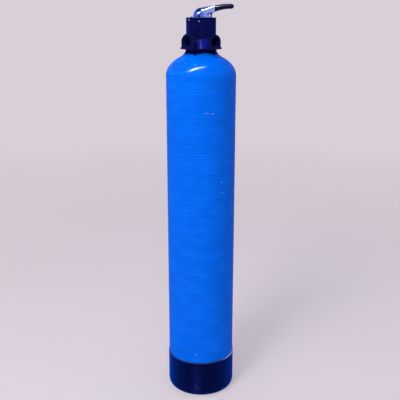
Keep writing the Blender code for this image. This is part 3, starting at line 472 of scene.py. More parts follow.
def solid(target, added, cut, bevel=0.0):
    """A target mesh with meshes added, then others cut away, and its sharp edges broken."""
    whole = placed(target.name, target)
    others = []
    steps = [("UNION", mesh) for mesh in added] + [("DIFFERENCE", mesh) for mesh in cut]
    for operation, mesh in steps:
        others.append(placed(mesh.name, mesh))
        modifier = whole.modifiers.new(operation, "BOOLEAN")
        modifier.operation = operation
        modifier.solver = "EXACT"
        modifier.object = others[-1]
    if bevel:
        edges = whole.modifiers.new("edges", "BEVEL")
        edges.width = bevel
        edges.segments = 2
        edges.limit_method = "ANGLE"
        edges.angle_limit = radians(38)
        edges.use_clamp_overlap = True
    result = bpy.data.meshes.new_from_object(whole.evaluated_get(bpy.context.evaluated_depsgraph_get()))
    for other in others + [whole]:
        bpy.data.objects.remove(other)
    return result


def joined(name, meshes):
    """One mesh of several."""
    bm = bmesh.new()
    for mesh in meshes:
        bm.from_mesh(mesh)
    return poured(bm, name)


def piece(name, mesh, look, body, at=None, stands_for=(), sharp=40):
    """A shown piece: smooth shaded, with its look, on its body."""
    mesh.shade_smooth()
    mesh.set_sharp_from_angle(angle=radians(sharp))
    mesh.materials.clear()
    mesh.materials.append(look)
    made = placed(name, mesh)
    made.matrix_world = at or Matrix.Identity(4)
    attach(made, body)
    if stands_for:
        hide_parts(*stands_for)


# Materials


def tone(colour, factor=1.0):
    """The colour times a factor, fully opaque."""
    return (*[min(channel * factor, 1.0) for channel in colour], 1.0)


def add_node(tree, kind, inputs=None, **settings):
    """A shader node of a kind, with its settings made and each input linked or set."""
    made = tree.nodes.new("ShaderNode" + kind)
    for key, value in settings.items():
        setattr(made, key, value)
    for key, value in (inputs or {}).items():
        if isinstance(value, bpy.types.NodeSocket):
            tree.links.new(value, made.inputs[key])
        else:
            made.inputs[key].default_value = value
    return made


class Look:
    """A material under construction: the Principled shader and what feeds it."""

    def __init__(self, name, colour, roughness, **sockets):
        self.material = bpy.data.materials.new(name)
        self.material.use_nodes = True
        self.tree = self.material.node_tree
        self.shader = self.tree.nodes["Principled BSDF"]
        sockets = {"Base Color": tone(colour), "Roughness": roughness, **sockets}
        for key, value in sockets.items():
            self.shader.inputs[key.replace("_", " ")].default_value = value
        self.coordinates = self.node("TexCoord").outputs["Object"]

    def node(self, kind, inputs=None, **settings):
        return add_node(self.tree, kind, inputs, **settings)

    def feed(self, socket, value):
        self.tree.links.new(value, self.shader.inputs[socket])

    def fed(self, socket):
        return self.shader.inputs[socket].links[0].from_socket

    def xyz(self):
        return self.node("SeparateXYZ", {"Vector": self.coordinates}).outputs

    def azimuth(self):
        x, y, _ = self.xyz()
        return self.math("ARCTAN2", y, x)

    def math(self, operation, *values):
        return self.node("Math", dict(enumerate(values)), operation=operation).outputs[0]

    def product(self, first, *others):
        for other in others:
            first = self.math("MULTIPLY", first, other)
        return first

    def lobe(self, angle, azimuth, narrow):
        """1 at an azimuth in degrees and less away from it, the faster the higher narrow is."""
        facing = self.math("COSINE", self.math("SUBTRACT", angle, radians(azimuth)))
        return self.math("POWER", self.math("MAXIMUM", facing, 0.0), narrow)

    def noise(self, scale, detail=4.0, roughness=0.5, vector=None):
        inputs = {"Scale": scale, "Detail": detail, "Roughness": roughness}
        inputs["Vector"] = vector or self.coordinates
        return self.node("TexNoise", inputs).outputs["Fac"]

    def drawn(self, across, upward, detail=3.0, roughness=0.5):
        """Noise of one scale across and another one upward."""
        inputs = {"Vector": self.coordinates, "Scale": (across, across, upward)}
        vector = self.node("Mapping", inputs).outputs["Vector"]
        return self.noise(1.0, detail, roughness, vector)

    def distance(self, x, y, spot=(0.0, 0.0, 0.0)):
        """How far (x, y) lies from a spot in the plane."""
        flat = self.node("CombineXYZ", {"X": x, "Y": y, "Z": 0.0}).outputs[0]
        return self.node("VectorMath", {0: flat, 1: spot}, operation="DISTANCE").outputs["Value"]

    def scaled(self, value, start, end, first=0.0, last=1.0):
        """The value from start to end mapped to first to last, and held beyond them."""
        inputs = {"Value": value, "From Min": start, "From Max": end, "To Min": first, "To Max": last}
        return self.node("MapRange", inputs).outputs["Result"]

    def blend(self, share, first, second):
        return self.node("Mix", {0: share, 6: first, 7: second}, data_type="RGBA").outputs[2]

    def bump(self, height, strength, distance, onto=None):
        """The surface's normal with a height's relief."""
        inputs = {"Height": height, "Strength": strength, "Distance": distance}
        if onto:
            inputs["Normal"] = onto
        return self.node("Bump", inputs).outputs["Normal"]


def marked(look, shade, marks, reach, colour):
    """The shade with small oval marks in a colour, on a wall about that far from the axis."""
    z = look.xyz()["Z"]
    angle = look.azimuth()
    for azimuth, height, width, tall in marks:
        across = look.product(look.math("SUBTRACT", angle, radians(azimuth)), reach / width)
        up = look.math("DIVIDE", look.math("SUBTRACT", z, height), tall)
        share = look.scaled(look.distance(across, up), 0.5, 1.0, 1.0, 0.0)
        shade = look.blend(share, shade, colour)
    return shade


def painted(look, colour, black):
    """The colour below the wandering edge of the dipped black, and the black above it."""
    angle = look.azimuth()
    edge = look.scaled(look.noise(60.0, 3.0), 0.35, 0.75, -PAINT_WANDER, PAINT_WANDER)
    for azimuth, rise, narrow in PAINT_RUNS:
        edge = look.math("ADD", edge, look.product(look.lobe(angle, azimuth, narrow), rise))
    above = look.math("SUBTRACT", look.xyz()["Z"], look.math("ADD", edge, high("tank_winding", 2)))
    return look.blend(look.scaled(above, -0.0005, 0.0003), colour, black)


def winding_look(paint, black):
    """Gloss paint over filament: strands along the hoops, crossing ones on the dome, a dipped black edge;
    painted shade in the grooves and just above the boot, painted highlights on the crests and small painted
    glints.
    """
    look = Look("wound_paint", paint, 0.16, Specular_IOR_Level=0.0, Coat_Roughness=0.045)
    z = look.xyz()["Z"]
    angle = look.azimuth()
    on_dome = look.scaled(z, TOP_EQUATOR - 0.004, TOP_EQUATOR + 0.02)
    hoops = look.math("SUBTRACT", 1.0, on_dome)
    strands = look.drawn(9.0, 420.0, roughness=0.6)
    patches = look.drawn(7.0, 60.0)
    runs = look.drawn(14.0, 38.0, 2.0)
    wave = look.math("SUBTRACT", look.product(z, tau / BAND), angle)
    for rise, turns, climb, phase in BAND_SAGS:
        around_it = look.math("MULTIPLY_ADD", angle, turns, phase)
        sag = look.math("SINE", look.math("MULTIPLY_ADD", z, climb, around_it))
        wave = look.math("MULTIPLY_ADD", sag, rise * tau / BAND, wave)
    # Painted shade in the grooves of the hoop winding
    groove = look.scaled(look.math("COSINE", wave), 0.2, 1.0)
    groove = look.product(groove, look.scaled(runs, 0.3, 0.6, 0.1), hoops)
    # Painted highlight along the crests, a quarter turn from the grooves
    crest = look.scaled(look.math("SINE", wave), 0.5, 1.0)
    crest = look.product(crest, look.scaled(runs, 0.55, 0.4), hoops)
    climb = look.product(z, CROSSING_CLIMB)
    turns = look.product(angle, CROSSINGS)
    crossing = [look.math("SINE", look.math(way, turns, climb)) for way in ("ADD", "SUBTRACT")]
    ridges = look.product(look.math("MAXIMUM", *crossing), on_dome)
    colour = look.blend(look.scaled(strands, 0.3, 0.7), tone(paint, 0.9), tone(paint, 1.06))
    colour = look.blend(look.scaled(patches, 0.35, 0.65, 0.0, 0.3), colour, tone(paint, 0.94))
    colour = look.blend(look.product(groove, GROOVE_PAINTED_SHADE), colour, tone(paint, 0.5))
    colour = look.blend(look.product(crest, CREST_HIGHLIGHT_SHARE), colour, CREST_HIGHLIGHT_BLUE)
    # Painted shade along the winding just above the boot's rim
    seam_shade = look.scaled(z, BOOT_HEIGHT + 0.001, BOOT_HEIGHT + 0.0035, 0.6, 0.0)
    colour = look.blend(seam_shade, colour, SEAM_SHADE_AND_STREAK_DARK)
    # A dark streak on the dome's shoulder
    colour = marked(look, colour, WINDING_DARK_STREAK, TANK_RADIUS, SEAM_SHADE_AND_STREAK_DARK)
    # Painted glints: small pale highlights on the winding
    colour = marked(look, colour, WINDING_GLINTS, TANK_RADIUS, GLINT_BLUE)
    look.feed("Base Color", painted(look, colour, tone(black)))
    look.feed("Roughness", look.scaled(patches, 0.3, 0.7, 0.12, 0.22))
    crossed = look.scaled(ridges, 0.35, 0.85, 0.0, DOME_GLOSS)
    crossed = look.product(crossed, look.scaled(patches, 0.35, 0.55, 0.5))
    wall = look.scaled(on_dome, 0.0, 1.0, WALL_GLOSS, 0.03)
    look.feed("Coat Weight", look.math("MAXIMUM", crossed, wall))
    look.feed("Coat Normal", look.bump(ridges, 1.0, 0.00006))
    look.feed("Normal", look.bump(ridges, 0.6, 0.0003, look.bump(strands, 0.55, 0.00035)))
    return look.material


def moulded_look(name, colour, roughness, grain=1400.0, streaks=0.0, gloss=0.02, cast=0.5, fade=0.36):
    """Moulded plastic: fine eroded grain and rubbed patches, with a blue cast at its edges."""
    look = Look(name, colour, roughness, Specular_IOR_Level=0.0, Sheen_Weight=cast, Sheen_Roughness=fade,
                Sheen_Tint=CAST_BLUE, Coat_Weight=gloss, Coat_Roughness=0.08)
    pits = look.noise(grain, 2.0, 0.6)
    rubbed = look.noise(26.0, 5.0, 0.6)
    drawn = look.drawn(160.0, 6.0)
    shade = look.blend(look.scaled(rubbed, 0.45, 0.75, 0.0, 0.6), tone(colour), tone(colour, 1.7))
    look.feed("Base Color", look.blend(look.scaled(drawn, 0.5, 0.8, 0.0, streaks), shade, tone(colour, 2.6)))
    look.feed("Roughness", look.scaled(rubbed, 0.3, 0.7, roughness - 0.06, roughness + 0.08))
    look.feed("Normal", look.bump(pits, 0.25, 0.00012))
    return look


def valve_look(colour):
    """The valve's moulding: matt above, glossier round the ports, mottled, with painted light on the front
    boss in a lighter blue and two pale specks under the cap.
    """
    look = moulded_look("valve_black", colour, 0.22, streaks=0.45)
    x, y, z = look.xyz()
    look.feed("Coat Weight", look.scaled(z, SHOULDER_HEIGHT - 0.002, SHOULDER_HEIGHT + 0.016, 0.09, 0.02))
    # Painted light: the front boss in a lighter, lit blue
    spot = around(PILLAR_DISTANCE + 0.004, FRONT_AZIMUTH, 0.0)
    spot += around(PILLAR_SHIFT, FRONT_AZIMUTH + pi / 2, 0.0)
    away = look.distance(x, y, spot)
    below = look.scaled(z, PILLAR_HEIGHT - 0.001, PILLAR_HEIGHT + 0.001, 1.0, 0.0)
    lit_pillar = look.product(look.scaled(away, PILLAR_HEAD, PILLAR_FOOT + 0.001, 1.0, 0.0), below)
    mottle = look.noise(110.0, 3.0, 0.6)
    shade = look.blend(look.scaled(mottle, 0.5, 0.62, 0.0, 0.7), look.fed("Base Color"), MOTTLE_LIGHT)
    shade = look.blend(look.scaled(mottle, 0.5, 0.4, 0.0, 0.8), shade, MOTTLE_DARK)
    shade = look.blend(lit_pillar, shade, PILLAR_LIT_BLUE)
    # Two small pale specks under the cap's edge
    look.feed("Base Color", marked(look, shade, VALVE_MARKS, BODY_RADIUS, SPECK_PALE))
    return look.material


def boot_look(colour):
    """The boot's moulding: a painted sheen streak down the front, a painted highlight along the rim that is
    brightest on one side, and painted glints low on its front.
    """
    look = moulded_look("boot_black", colour, 0.24, streaks=0.5, cast=1.0, fade=0.42)
    z = look.xyz()["Z"]
    angle = look.azimuth()
    # Painted sheen streak down the boot's front, stronger toward the bottom
    streak = look.product(look.lobe(angle, BOOT_SHEEN_STREAK, 110.0), look.scaled(z, 0.02, 0.13, 0.9, 0.3))
    shade = look.blend(streak, look.fed("Base Color"), SHEEN_STREAK_BLUE)
    # Painted highlight along the rim, faint all round and brightest toward one side
    rim_highlight = look.math("MAXIMUM", look.lobe(angle, BOOT_RIM_HIGHLIGHT, 14.0), 0.05)
    rim_highlight = look.product(rim_highlight, look.scaled(z, BOOT_HEIGHT - 0.0022, BOOT_HEIGHT - 0.0012))
    shade = look.blend(rim_highlight, shade, RIM_HIGHLIGHT_PALE)
    # Painted glints low on the boot's front
    look.feed("Base Color", marked(look, shade, BOOT_GLINTS, BOOT_RADIUS, BOOT_GLINT_BLUE))
    return look.material


def neck_look(paint, black):
    """Black moulding with the blue paint of the winding run up onto its foot."""
    look = moulded_look("neck_black", black, 0.22, gloss=0.05)
    look.feed("Base Color", painted(look, tone(paint, 0.95), look.fed("Base Color")))
    return look.material


def chrome_look(name, hub, arm, roughness):
    """Bright plating with faint smudges; the deep blue on the hub and the paler blue out along the arm are
    painted reflections.
    """
    look = Look(name, arm, roughness, Metallic=1.0)
    smudge = look.noise(60.0, 4.0, 0.6)
    # Painted reflection: deep blue on the hub, paler along the arm
    shade = look.blend(look.scaled(look.xyz()["X"], 0.002, 0.016), tone(hub), tone(arm))
    look.feed("Base Color", look.blend(look.scaled(smudge, 0.4, 0.8, 0.0, 0.3), shade, tone(hub, 1.1)))
    look.feed("Roughness", look.scaled(smudge, 0.35, 0.75, roughness, roughness + 0.07))
    return look.material


def granular_look(name, dark, light, scale, roughness):
    """A bed of grains: each cell its own shade, with deep joints."""
    look = Look(name, dark, roughness)
    cells = look.node("TexVoronoi", {"Vector": look.coordinates, "Scale": scale}).outputs
    look.feed("Base Color", look.blend(cells["Color"], tone(dark), tone(light)))
    look.feed("Normal", look.bump(cells["Distance"], 0.9, 0.0012))
    return look.material


def plain_look(name, colour, roughness, scale=500.0, depth=0.00006):
    """Clean moulded or ground material with a fine texture and slight shade."""
    look = Look(name, colour, roughness)
    fine = look.noise(scale, 3.0, 0.6)
    cloudy = look.noise(40.0, 3.0)
    shade = look.blend(look.scaled(cloudy, 0.35, 0.7), tone(colour, 0.88), tone(colour, 1.05))
    look.feed("Base Color", shade)
    look.feed("Roughness", look.scaled(cloudy, 0.3, 0.7, roughness - 0.05, roughness + 0.08))
    look.feed("Normal", look.bump(fine, 0.3, depth))
    return look.material


def brushed_look(name, colour, roughness):
    """Turned metal with fine rings."""
    look = Look(name, colour, roughness, Metallic=1.0)
    lines = look.drawn(60.0, 2400.0, roughness=0.6)
    look.feed("Base Color", look.blend(look.scaled(lines, 0.3, 0.7), tone(colour, 0.82), tone(colour, 1.05)))
    look.feed("Roughness", look.scaled(lines, 0.3, 0.7, roughness - 0.06, roughness + 0.12))
    look.feed("Normal", look.bump(lines, 0.2, 0.00005))
    return look.material


# Vessel


def dome_point(angle, offset=0.0):
    """(radius, rise) of the elliptical dome, offset square to its skin."""
    radius, rise = TANK_RADIUS * cos(angle), DOME_RISE * sin(angle)
    across, up = cos(angle) / TANK_RADIUS, sin(angle) / DOME_RISE
    length = hypot(across, up)
    return max(radius - offset * across / length, 0.0), rise - offset * up / length


def flare_point(share, offset=0.0, slide=0.0):
    """A point where the dome turns up into the neck, from share 0 at the dome to 1 at the face."""
    start = Vector((FLARE_RADIUS, TOP_EQUATOR + DOME_RISE * sin(FLARE_ANGLE)))
    slope = DOME_RISE / TANK_RADIUS / tan(FLARE_ANGLE)
    corner = Vector((NECK_RADIUS, start.y + slope * (FLARE_RADIUS - NECK_RADIUS)))
    end = Vector((NECK_RADIUS, NECK_TOP))
    along = ((corner - start) * (1 - share) + (end - corner) * share).normalized()
    point = bent(start, corner, end, share)
    return tuple(point - Vector((along.y, -along.x)) * offset + along * slide)


def band_relief(height, angle):
    """Depth of the winding at each point: a groove along a helix, sagging and fading here and there."""
    sag = sum(rise * np.sin(turns * angle + climb * height + phase)
              for rise, turns, climb, phase in BAND_SAGS)
    turn = (height + sag) / BAND - angle / tau
    groove = np.abs(np.cos(pi * turn)) ** GROOVE_SHARPNESS
    strength = 0.55 + 0.45 * np.sin(angle * 3 + height * 41) * np.sin(height * 137 - angle * 2 + 0.8)
    swell = 0.5 + 0.5 * np.sin(height * 53 + 2.0 * np.sin(angle * 2))
    hoops = np.clip((TOP_EQUATOR + HOOP_FADE / 2 - height) / HOOP_FADE, 0.0, 1.0)
    ends = np.clip((height - BOOT_HEIGHT + 2 * BOOT_FADE) / BOOT_FADE, 0.0, 1.0)
    return -(BAND_DEPTH * groove * strength + SWELL_DEPTH * swell) * hoops * ends


def make_winding(look):
    outline = [(0.0, LOW_EQUATOR - DOME_RISE)] + bottom_outline()[1:]
    rows = int((TOP_EQUATOR - LOW_EQUATOR) / RING_STEP)
    outline += [(TANK_RADIUS, height) for height in spread(LOW_EQUATOR, TOP_EQUATOR, rows)[1:]]
    for angle in spread(0.0, FLARE_ANGLE, 36)[1:]:
        radius, rise = dome_point(angle)
        outline.append((radius, TOP_EQUATOR + rise))
    outline += [flare_point(share) for share in spread(0.0, PAINT_EDGE, 8)[1:-1]]
    outline += [flare_point(PAINT_EDGE, offset, -GAP) for offset in (0.0, SHELL_LAP)]
    outline += [flare_point(0.0, SHELL_LAP), (0.0, TOP_EQUATOR + SHELL_ROOF)]
    mesh = spun("wound_shell", outline, ROUND, band_relief)
    piece("wound_shell", mesh, look, "vessel", None, ["tank_winding"])


def make_neck(look):
    shown = [flare_point(share) for share in spread(1.0, PAINT_EDGE, 14)]
    shown[0] = (NECK_RADIUS, NECK_TOP - NECK_EDGE)
    seat = low("neck_seal", 2) - SEAL_DROP
    seat_radius = high("neck_seal", 0) + SEAL_ROOM
    inner = SKIRT_RADIUS + GAP
    bottom = low("neck_collar", 2)
    outline = [(seat_radius, NECK_TOP), (NECK_RADIUS - NECK_EDGE, NECK_TOP)] + shown
    outline += [flare_point(share, NECK_WALL) for share in spread(PAINT_EDGE, 0.0, 4)]
    outline += [flare_point(0.0, NECK_ROOT_WALL), (inner + NECK_RING_WALL, bottom), (inner, bottom)]
    outline += [(inner, seat), (seat_radius, seat)]
    mesh = spun("neck_ring", outline, ROUND)
    piece("neck_ring", mesh, look, "vessel", None, ["neck_collar"])


def bottom_outline(offset=0.0):
    """The bottom dome from its pole to the wall; a negative offset lies outside it."""
    points = []
    for angle in spread(pi / 2, 0.0, 24):
        radius, rise = dome_point(angle, offset)
        points.append((radius, LOW_EQUATOR - rise))
    return points


def height_on(outline, radius):
    """Height of an outline at a radius."""
    for (r0, z0), (r1, z1) in zip(outline, outline[1:]):
        if r0 <= radius <= r1:
            return mix(z0, z1, (radius - r0) / (r1 - r0))
    return outline[-1][1]


def boot_corner(side, lift):
    """Rounded corner from the boot's foot up to its wall, taken in at the side and lifted at the foot."""
    middle = BOOT_RADIUS - CORNER_REACH
    reach, rise = CORNER_REACH - side, CORNER_RISE - lift
    turns = spread(0.0, pi / 2, 12)
    return [(middle + reach * sin(a), CORNER_RISE - rise * cos(a)) for a in turns]


def make_boot(look):
    foot = BOOT_RADIUS - CORNER_REACH - BOOT_FOOT_WIDTH
    corner = Vector((BOOT_RADIUS, BOOT_HEIGHT))
    start, end = corner - Vector((0.0, BOOT_RIM_ROUND)), corner - Vector((BOOT_RIM_ROUND, 0.0))
    outline = boot_corner(0.0, 0.0) + [(BOOT_RADIUS, BOOT_HEIGHT - BOOT_RIM)]
    outline += [tuple(bent(start, corner, end, share)) for share in spread(0.0, 1.0, 4)]
    outline += [(BOOT_INNER, BOOT_HEIGHT)] + boot_corner(BOOT_WALL, BOOT_FOOT)[::-1]
    outline += [(foot, BOOT_FOOT), (foot, 0.0)]
    wall = spun("boot_wall", outline, ROUND)
    carried = bottom_outline(-GAP)
    ring_outer = RING_RADIUS + RING_WALL
    ring = [(RING_RADIUS, RING_LIFT), (ring_outer, RING_LIFT)]
    ring += [(radius, height_on(carried, radius)) for radius in (ring_outer, RING_RADIUS)]
    added = [spun("boot_ring", ring, ROUND)]
    clear = bottom_outline(-BOOT_RIB_DROP)
    root = RING_RADIUS + RING_WALL / 2
    top = [(root, height_on(clear, root))]
    top += [point for point in clear if root < point[0] < BOOT_INNER - BOOT_RIB_DROP]
    top.append((BOOT_RADIUS - BOOT_RIB_INSET, top[-1][1]))
    side = [(root, RING_LIFT)] + boot_corner(BOOT_RIB_INSET, BOOT_FOOT / 2) + top[::-1]
    for i in range(BOOT_RIBS):
        turn = Matrix.Rotation(tau * (i + 0.5) / BOOT_RIBS, 4, "Z")
        sections = [[(r, half, z) for r, z in side] for half in (-BOOT_RIB_WALL / 2, BOOT_RIB_WALL / 2)]
        added.append(moved(lofted("boot_rib", sections), turn))
    mesh = solid(wall, added, [])
    piece("boot_shell", mesh, look, "vessel", None, ["base_boot"])


# Valve


def arch(reach, inset=0.0):
    """Section of a port boss: oval above, straight down to the flange."""
    half, rise = BOSS_HALF - inset, BOSS_RISE - inset
    crown = oval(half, rise, PORT_HEIGHT, spread(0.0, pi, 24))
    foot = FLANGE / 2
    return [(reach, across, up) for across, up in [(half, foot)] + crown + [(-half, foot)]]


def port_thread():
    """Helical ridge inside a port, a closed ribbon along Z from the socket's floor to the mouth."""
    steps = int((PORT_DEPTH - MOUTH_DEPTH - THREAD_END) / THREAD_PITCH * THREAD_STEPS)
    base = PORT_REACH - PORT_DEPTH + THREAD_START + THREAD_PITCH / 2
    foot = PORT_RADIUS + THREAD_BITE
    points = []
    for i in range(steps + 1):
        fade = min(1.0, i / THREAD_FADE, (steps - i) / THREAD_FADE)
        crest = PORT_RADIUS - THREAD_HEIGHT * max(fade, 0.05)
        ridge = (foot, -THREAD_FOOT), (crest, -THREAD_CREST), (crest, THREAD_CREST), (foot, THREAD_FOOT)
        for radius, rise in ridge:
            height = base + THREAD_PITCH * (i / THREAD_STEPS + rise)
            points.append(around(radius, tau * i / THREAD_STEPS, height))
    ends = [(0, 1, 2, 3), (4 * steps + 3, 4 * steps + 2, 4 * steps + 1, 4 * steps)]
    return mesh_of("port_thread", points, walls(steps + 1, 4) + ends)


def make_valve_body(look):
    outline = [(0.0, CHAMBER_FLOOR), (CHAMBER_RADIUS, CHAMBER_FLOOR), (CHAMBER_RADIUS, BODY_HEIGHT)]
    outline += [(BODY_RADIUS - BODY_EDGE, BODY_HEIGHT), (BODY_RADIUS, BODY_HEIGHT - BODY_EDGE)]
    outline += [(BODY_RADIUS, SHOULDER_HEIGHT), (CORE_RADIUS, SHOULDER_HEIGHT - SHOULDER_DROP)]
    outline += [(CORE_RADIUS, FLANGE), (FLANGE_RADIUS - FLANGE_EDGE, FLANGE)]
    outline += [(FLANGE_RADIUS, FLANGE - FLANGE_EDGE), (FLANGE_RADIUS, GAP + FLANGE_EDGE)]
    outline += [(FLANGE_RADIUS - FLANGE_EDGE, GAP), (SKIRT_RADIUS, GAP), (SKIRT_RADIUS, -SKIRT_LENGTH)]
    outline += [(SKIRT_BORE, -SKIRT_LENGTH), (SKIRT_BORE, SKIRT_BORE_TOP), (0.0, SKIRT_BORE_TOP)]
    body = spun("valve_housing", outline)
    sections = [arch(BOSS_ROOT), arch(PORT_REACH - BOSS_EDGE), arch(PORT_REACH, BOSS_EDGE)]
    floor, mouth, past = (PORT_REACH - depth for depth in (PORT_DEPTH, MOUTH_DEPTH, -OVERCUT))
    added, bores, threads = [], [], []
    for name, azimuth in PORT_AZIMUTHS.items():
        turn = Matrix.Rotation(azimuth, 4, "Z")
        added.append(moved(lofted(f"{name}_boss", sections), turn))
        inner = INLET_INNER_END if name == "inlet" else PORT_INNER_END
        bore = [(0.0, inner), (PORT_BORE, inner), (PORT_BORE, floor), (PORT_RADIUS, floor)]
        bore += [(PORT_RADIUS, mouth), (MOUTH_RADIUS, mouth), (MOUTH_RADIUS, past), (0.0, past)]
        along = Matrix.Translation((0.0, 0.0, PORT_HEIGHT)) @ turn @ Matrix.Rotation(pi / 2, 4, "Y")
        bores.append(moved(spun(f"{name}_bore", bore, PORT_ROUND), along))
        threads.append(moved(port_thread(), along))
    across = around(1.0, FRONT_AZIMUTH + pi / 2, 0.0)
    foot = around(PILLAR_DISTANCE, FRONT_AZIMUTH, FLANGE / 2) + across * PILLAR_SHIFT
    head = around(PILLAR_DISTANCE, FRONT_AZIMUTH, PILLAR_HEIGHT) + across * PILLAR_HEAD_SHIFT
    added.append(cylinder("front_pillar", PILLAR_FOOT, foot, head, PILLAR_ROUND, PILLAR_HEAD))
    mesh = joined("valve_housing", [solid(body, added, bores, BODY_BEVEL)] + threads)
    piece("valve_housing", mesh, look, "vessel", VALVE_FRAME, ["valve_body"], 32)


def make_cap(look):
    flange = BODY_HEIGHT + GAP
    dial_floor = CAP_TOP - DIAL - GAP
    plug, dial_outer, dial_inner = CHAMBER_RADIUS - GAP, DIAL_OUTER + GAP, DIAL_INNER - GAP
    outline = [(STEM_BORE, flange - CAP_PLUG), (plug, flange - CAP_PLUG), (plug, flange)]
    outline += [(BODY_RADIUS - CAP_FOOT_EDGE, flange), (BODY_RADIUS, flange + CAP_FOOT_EDGE)]
    outline += [(BODY_RADIUS, CAP_TOP - CAP_EDGE), (BODY_RADIUS - CAP_EDGE / 3, CAP_TOP - CAP_EDGE / 4)]
    outline += [(BODY_RADIUS - CAP_EDGE, CAP_TOP), (dial_outer, CAP_TOP), (dial_outer, dial_floor)]
    outline += [(dial_inner, dial_floor), (dial_inner, CAP_TOP), (STEM_BORE, CAP_TOP)]
    seats = []
    for i in range(CAP_SCREWS):
        bottom = around(SCREW_RING, tau * i / CAP_SCREWS, CAP_TOP - SCREW_HEAD - GAP)
        top = bottom + Vector((0.0, 0.0, SCREW_SEAT_CUT))
        seats.append(cylinder("seat", SCREW_RADIUS + GAP, bottom, top))
    mesh = solid(spun("cap_plate", outline), [], seats, CAP_BEVEL)
    piece("cap_plate", mesh, look, "vessel", VALVE_FRAME, ["valve_cap"], 32)


def make_cap_screws(look):
    """Pan heads with a cross recess."""
    profile = [(0.0, -SCREW_HEAD), (SCREW_RADIUS, -SCREW_HEAD), (SCREW_RADIUS, -SCREW_SIDE_DROP)]
    profile += [(SCREW_RADIUS * 0.85, -SCREW_CROWN_DROP), (SCREW_RADIUS * 0.55, 0.0), (0.0, 0.0)]
    corners = (-CROSS_REACH, -CROSS_HALF, -CROSS_DEPTH), (CROSS_REACH, CROSS_HALF, CROSS_CUT)
    for i in range(CAP_SCREWS):
        cross = [block("recess", *corners, SCREW_TURN + i + turn) for turn in (0.0, pi / 2)]
        mesh = solid(spun("screw_head", profile, SMALL_ROUND), [], cross, SCREW_BEVEL)
        spot = VALVE_FRAME @ Matrix.Translation(around(SCREW_RING, tau * i / CAP_SCREWS, CAP_TOP))
        piece(f"screw_head_{i + 1}", mesh, look, "vessel", spot, [f"cap_screw_{i + 1}"])


def make_dial(look):
    base = CAP_TOP - DIAL
    ring = [(DIAL_INNER, base), (DIAL_OUTER, base), (DIAL_OUTER, CAP_TOP), (DIAL_INNER, CAP_TOP)]
    reach = asin((PIN_RADIUS + STOP_HALF_WIDTH) / PIN_DISTANCE) + STOP_PLAY
    near = (PIN_DISTANCE - STOP_HALF_LENGTH, -STOP_HALF_WIDTH, base + DIAL / 2)
    far = (PIN_DISTANCE + STOP_HALF_LENGTH, STOP_HALF_WIDTH, CAP_TOP + STOP_HEIGHT)
    azimuths = LEVER_REST + reach, LEVER_REST - LEVER_TRAVEL - reach
    stops = [block("stop", near, far, azimuth) for azimuth in azimuths]
    mesh = solid(spun("dial_plate", ring), stops, [], DIAL_BEVEL)
    piece("dial_plate", mesh, look, "vessel", VALVE_FRAME, ["dial_ring"], 32)


def make_dial_marks(look):
    """Ticks and plain numbers for the three positions, proud of the dial by a hair."""
    bars = []
    for step in range(TICKS + 1):
        inner = TICK_INNER if step % TICKS_TO_LONG else LONG_TICK_INNER
        near = (inner, -TICK_HALF, CAP_TOP - MARK_SINK)
        far = (TICK_OUTER, TICK_HALF, CAP_TOP + MARK_RISE)
        bars.append(block("tick", near, far, LEVER_REST - LEVER_TRAVEL * step / TICKS))
    piece("dial_ticks", joined("dial_ticks", bars), look, "vessel", VALVE_FRAME)
    for index in range(NUMBERS):
        azimuth = LEVER_REST - LEVER_TRAVEL * index / (NUMBERS - 1)
        name = f"dial_number_{index + 1}"
        curve = bpy.data.curves.new(name, "FONT")
        curve.body = str(index + 1)
        curve.size = NUMBER_SIZE
        curve.extrude = MARK_RISE
        curve.align_x = "CENTER"
        curve.align_y = "CENTER"
        curve.materials.append(look)
        number = placed(name, curve)
        spot = Matrix.Translation(around(NUMBER_RADIUS, azimuth, CAP_TOP))
        number.matrix_world = VALVE_FRAME @ spot @ Matrix.Rotation(azimuth - pi / 2, 4, "Z")
        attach(number, "vessel")


def make_pips(look):
    """Small moulded marks under the cap's edge."""
    pips = []
    for i in range(PIPS):
        reaches = BODY_RADIUS - PIP_SINK, BODY_RADIUS + PIP_PROUD
        ends = [around(reach, tau * (i + 0.5) / PIPS, BODY_HEIGHT - PIP_DROP) for reach in reaches]
        pips.append(cylinder("pip", PIP_RADIUS, *ends, PIP_ROUND, PIP_RADIUS * PIP_TAPER))
    piece("body_pips", joined("body_pips", pips), look, "vessel", VALVE_FRAME)


# Lever


def arm_section(share):
    """Section of the arm: a keel below, a flat on each side and a crown above."""
    half = mix(HUB_RADIUS - ARM_ROOT_INSET, ARM_END_HALF, share)
    keel, low_edge, high_edge = (mix(ARM_START[key], ARM_END[key], share) for key in ARM_START)
    top = mix(HUB_HEIGHT, ARM_END["top"], share) + ARM_BOW * 4 * share * (1 - share)
    turns = spread(-pi / 2, pi / 2, 14)
    below = [(half * sin(a), low_edge - (low_edge - keel) * cos(a)) for a in turns]
    crown = oval(half, top - high_edge, high_edge, spread(0.0, pi, 24))
    return [(share * ARM_REACH, across, up) for across, up in below + crown]


def grip_section(share, scale=1.0, reach=None):
    """Oval section of the grip, which arches up along its length."""
    rise = 1 - (1 - share) ** 2
    half, bottom, top = (mix(GRIP_START[key], GRIP_END[key], rise) for key in GRIP_START)
    middle, tall = (bottom + top) / 2, (top - bottom) / 2 * scale
    x = ARM_REACH + GAP + share * GRIP_LENGTH if reach is None else reach
    turns = [tau * i / GRIP_ROUND for i in range(GRIP_ROUND)]
    return [(x, across, up) for across, up in oval(half * scale, tall, middle, turns)]


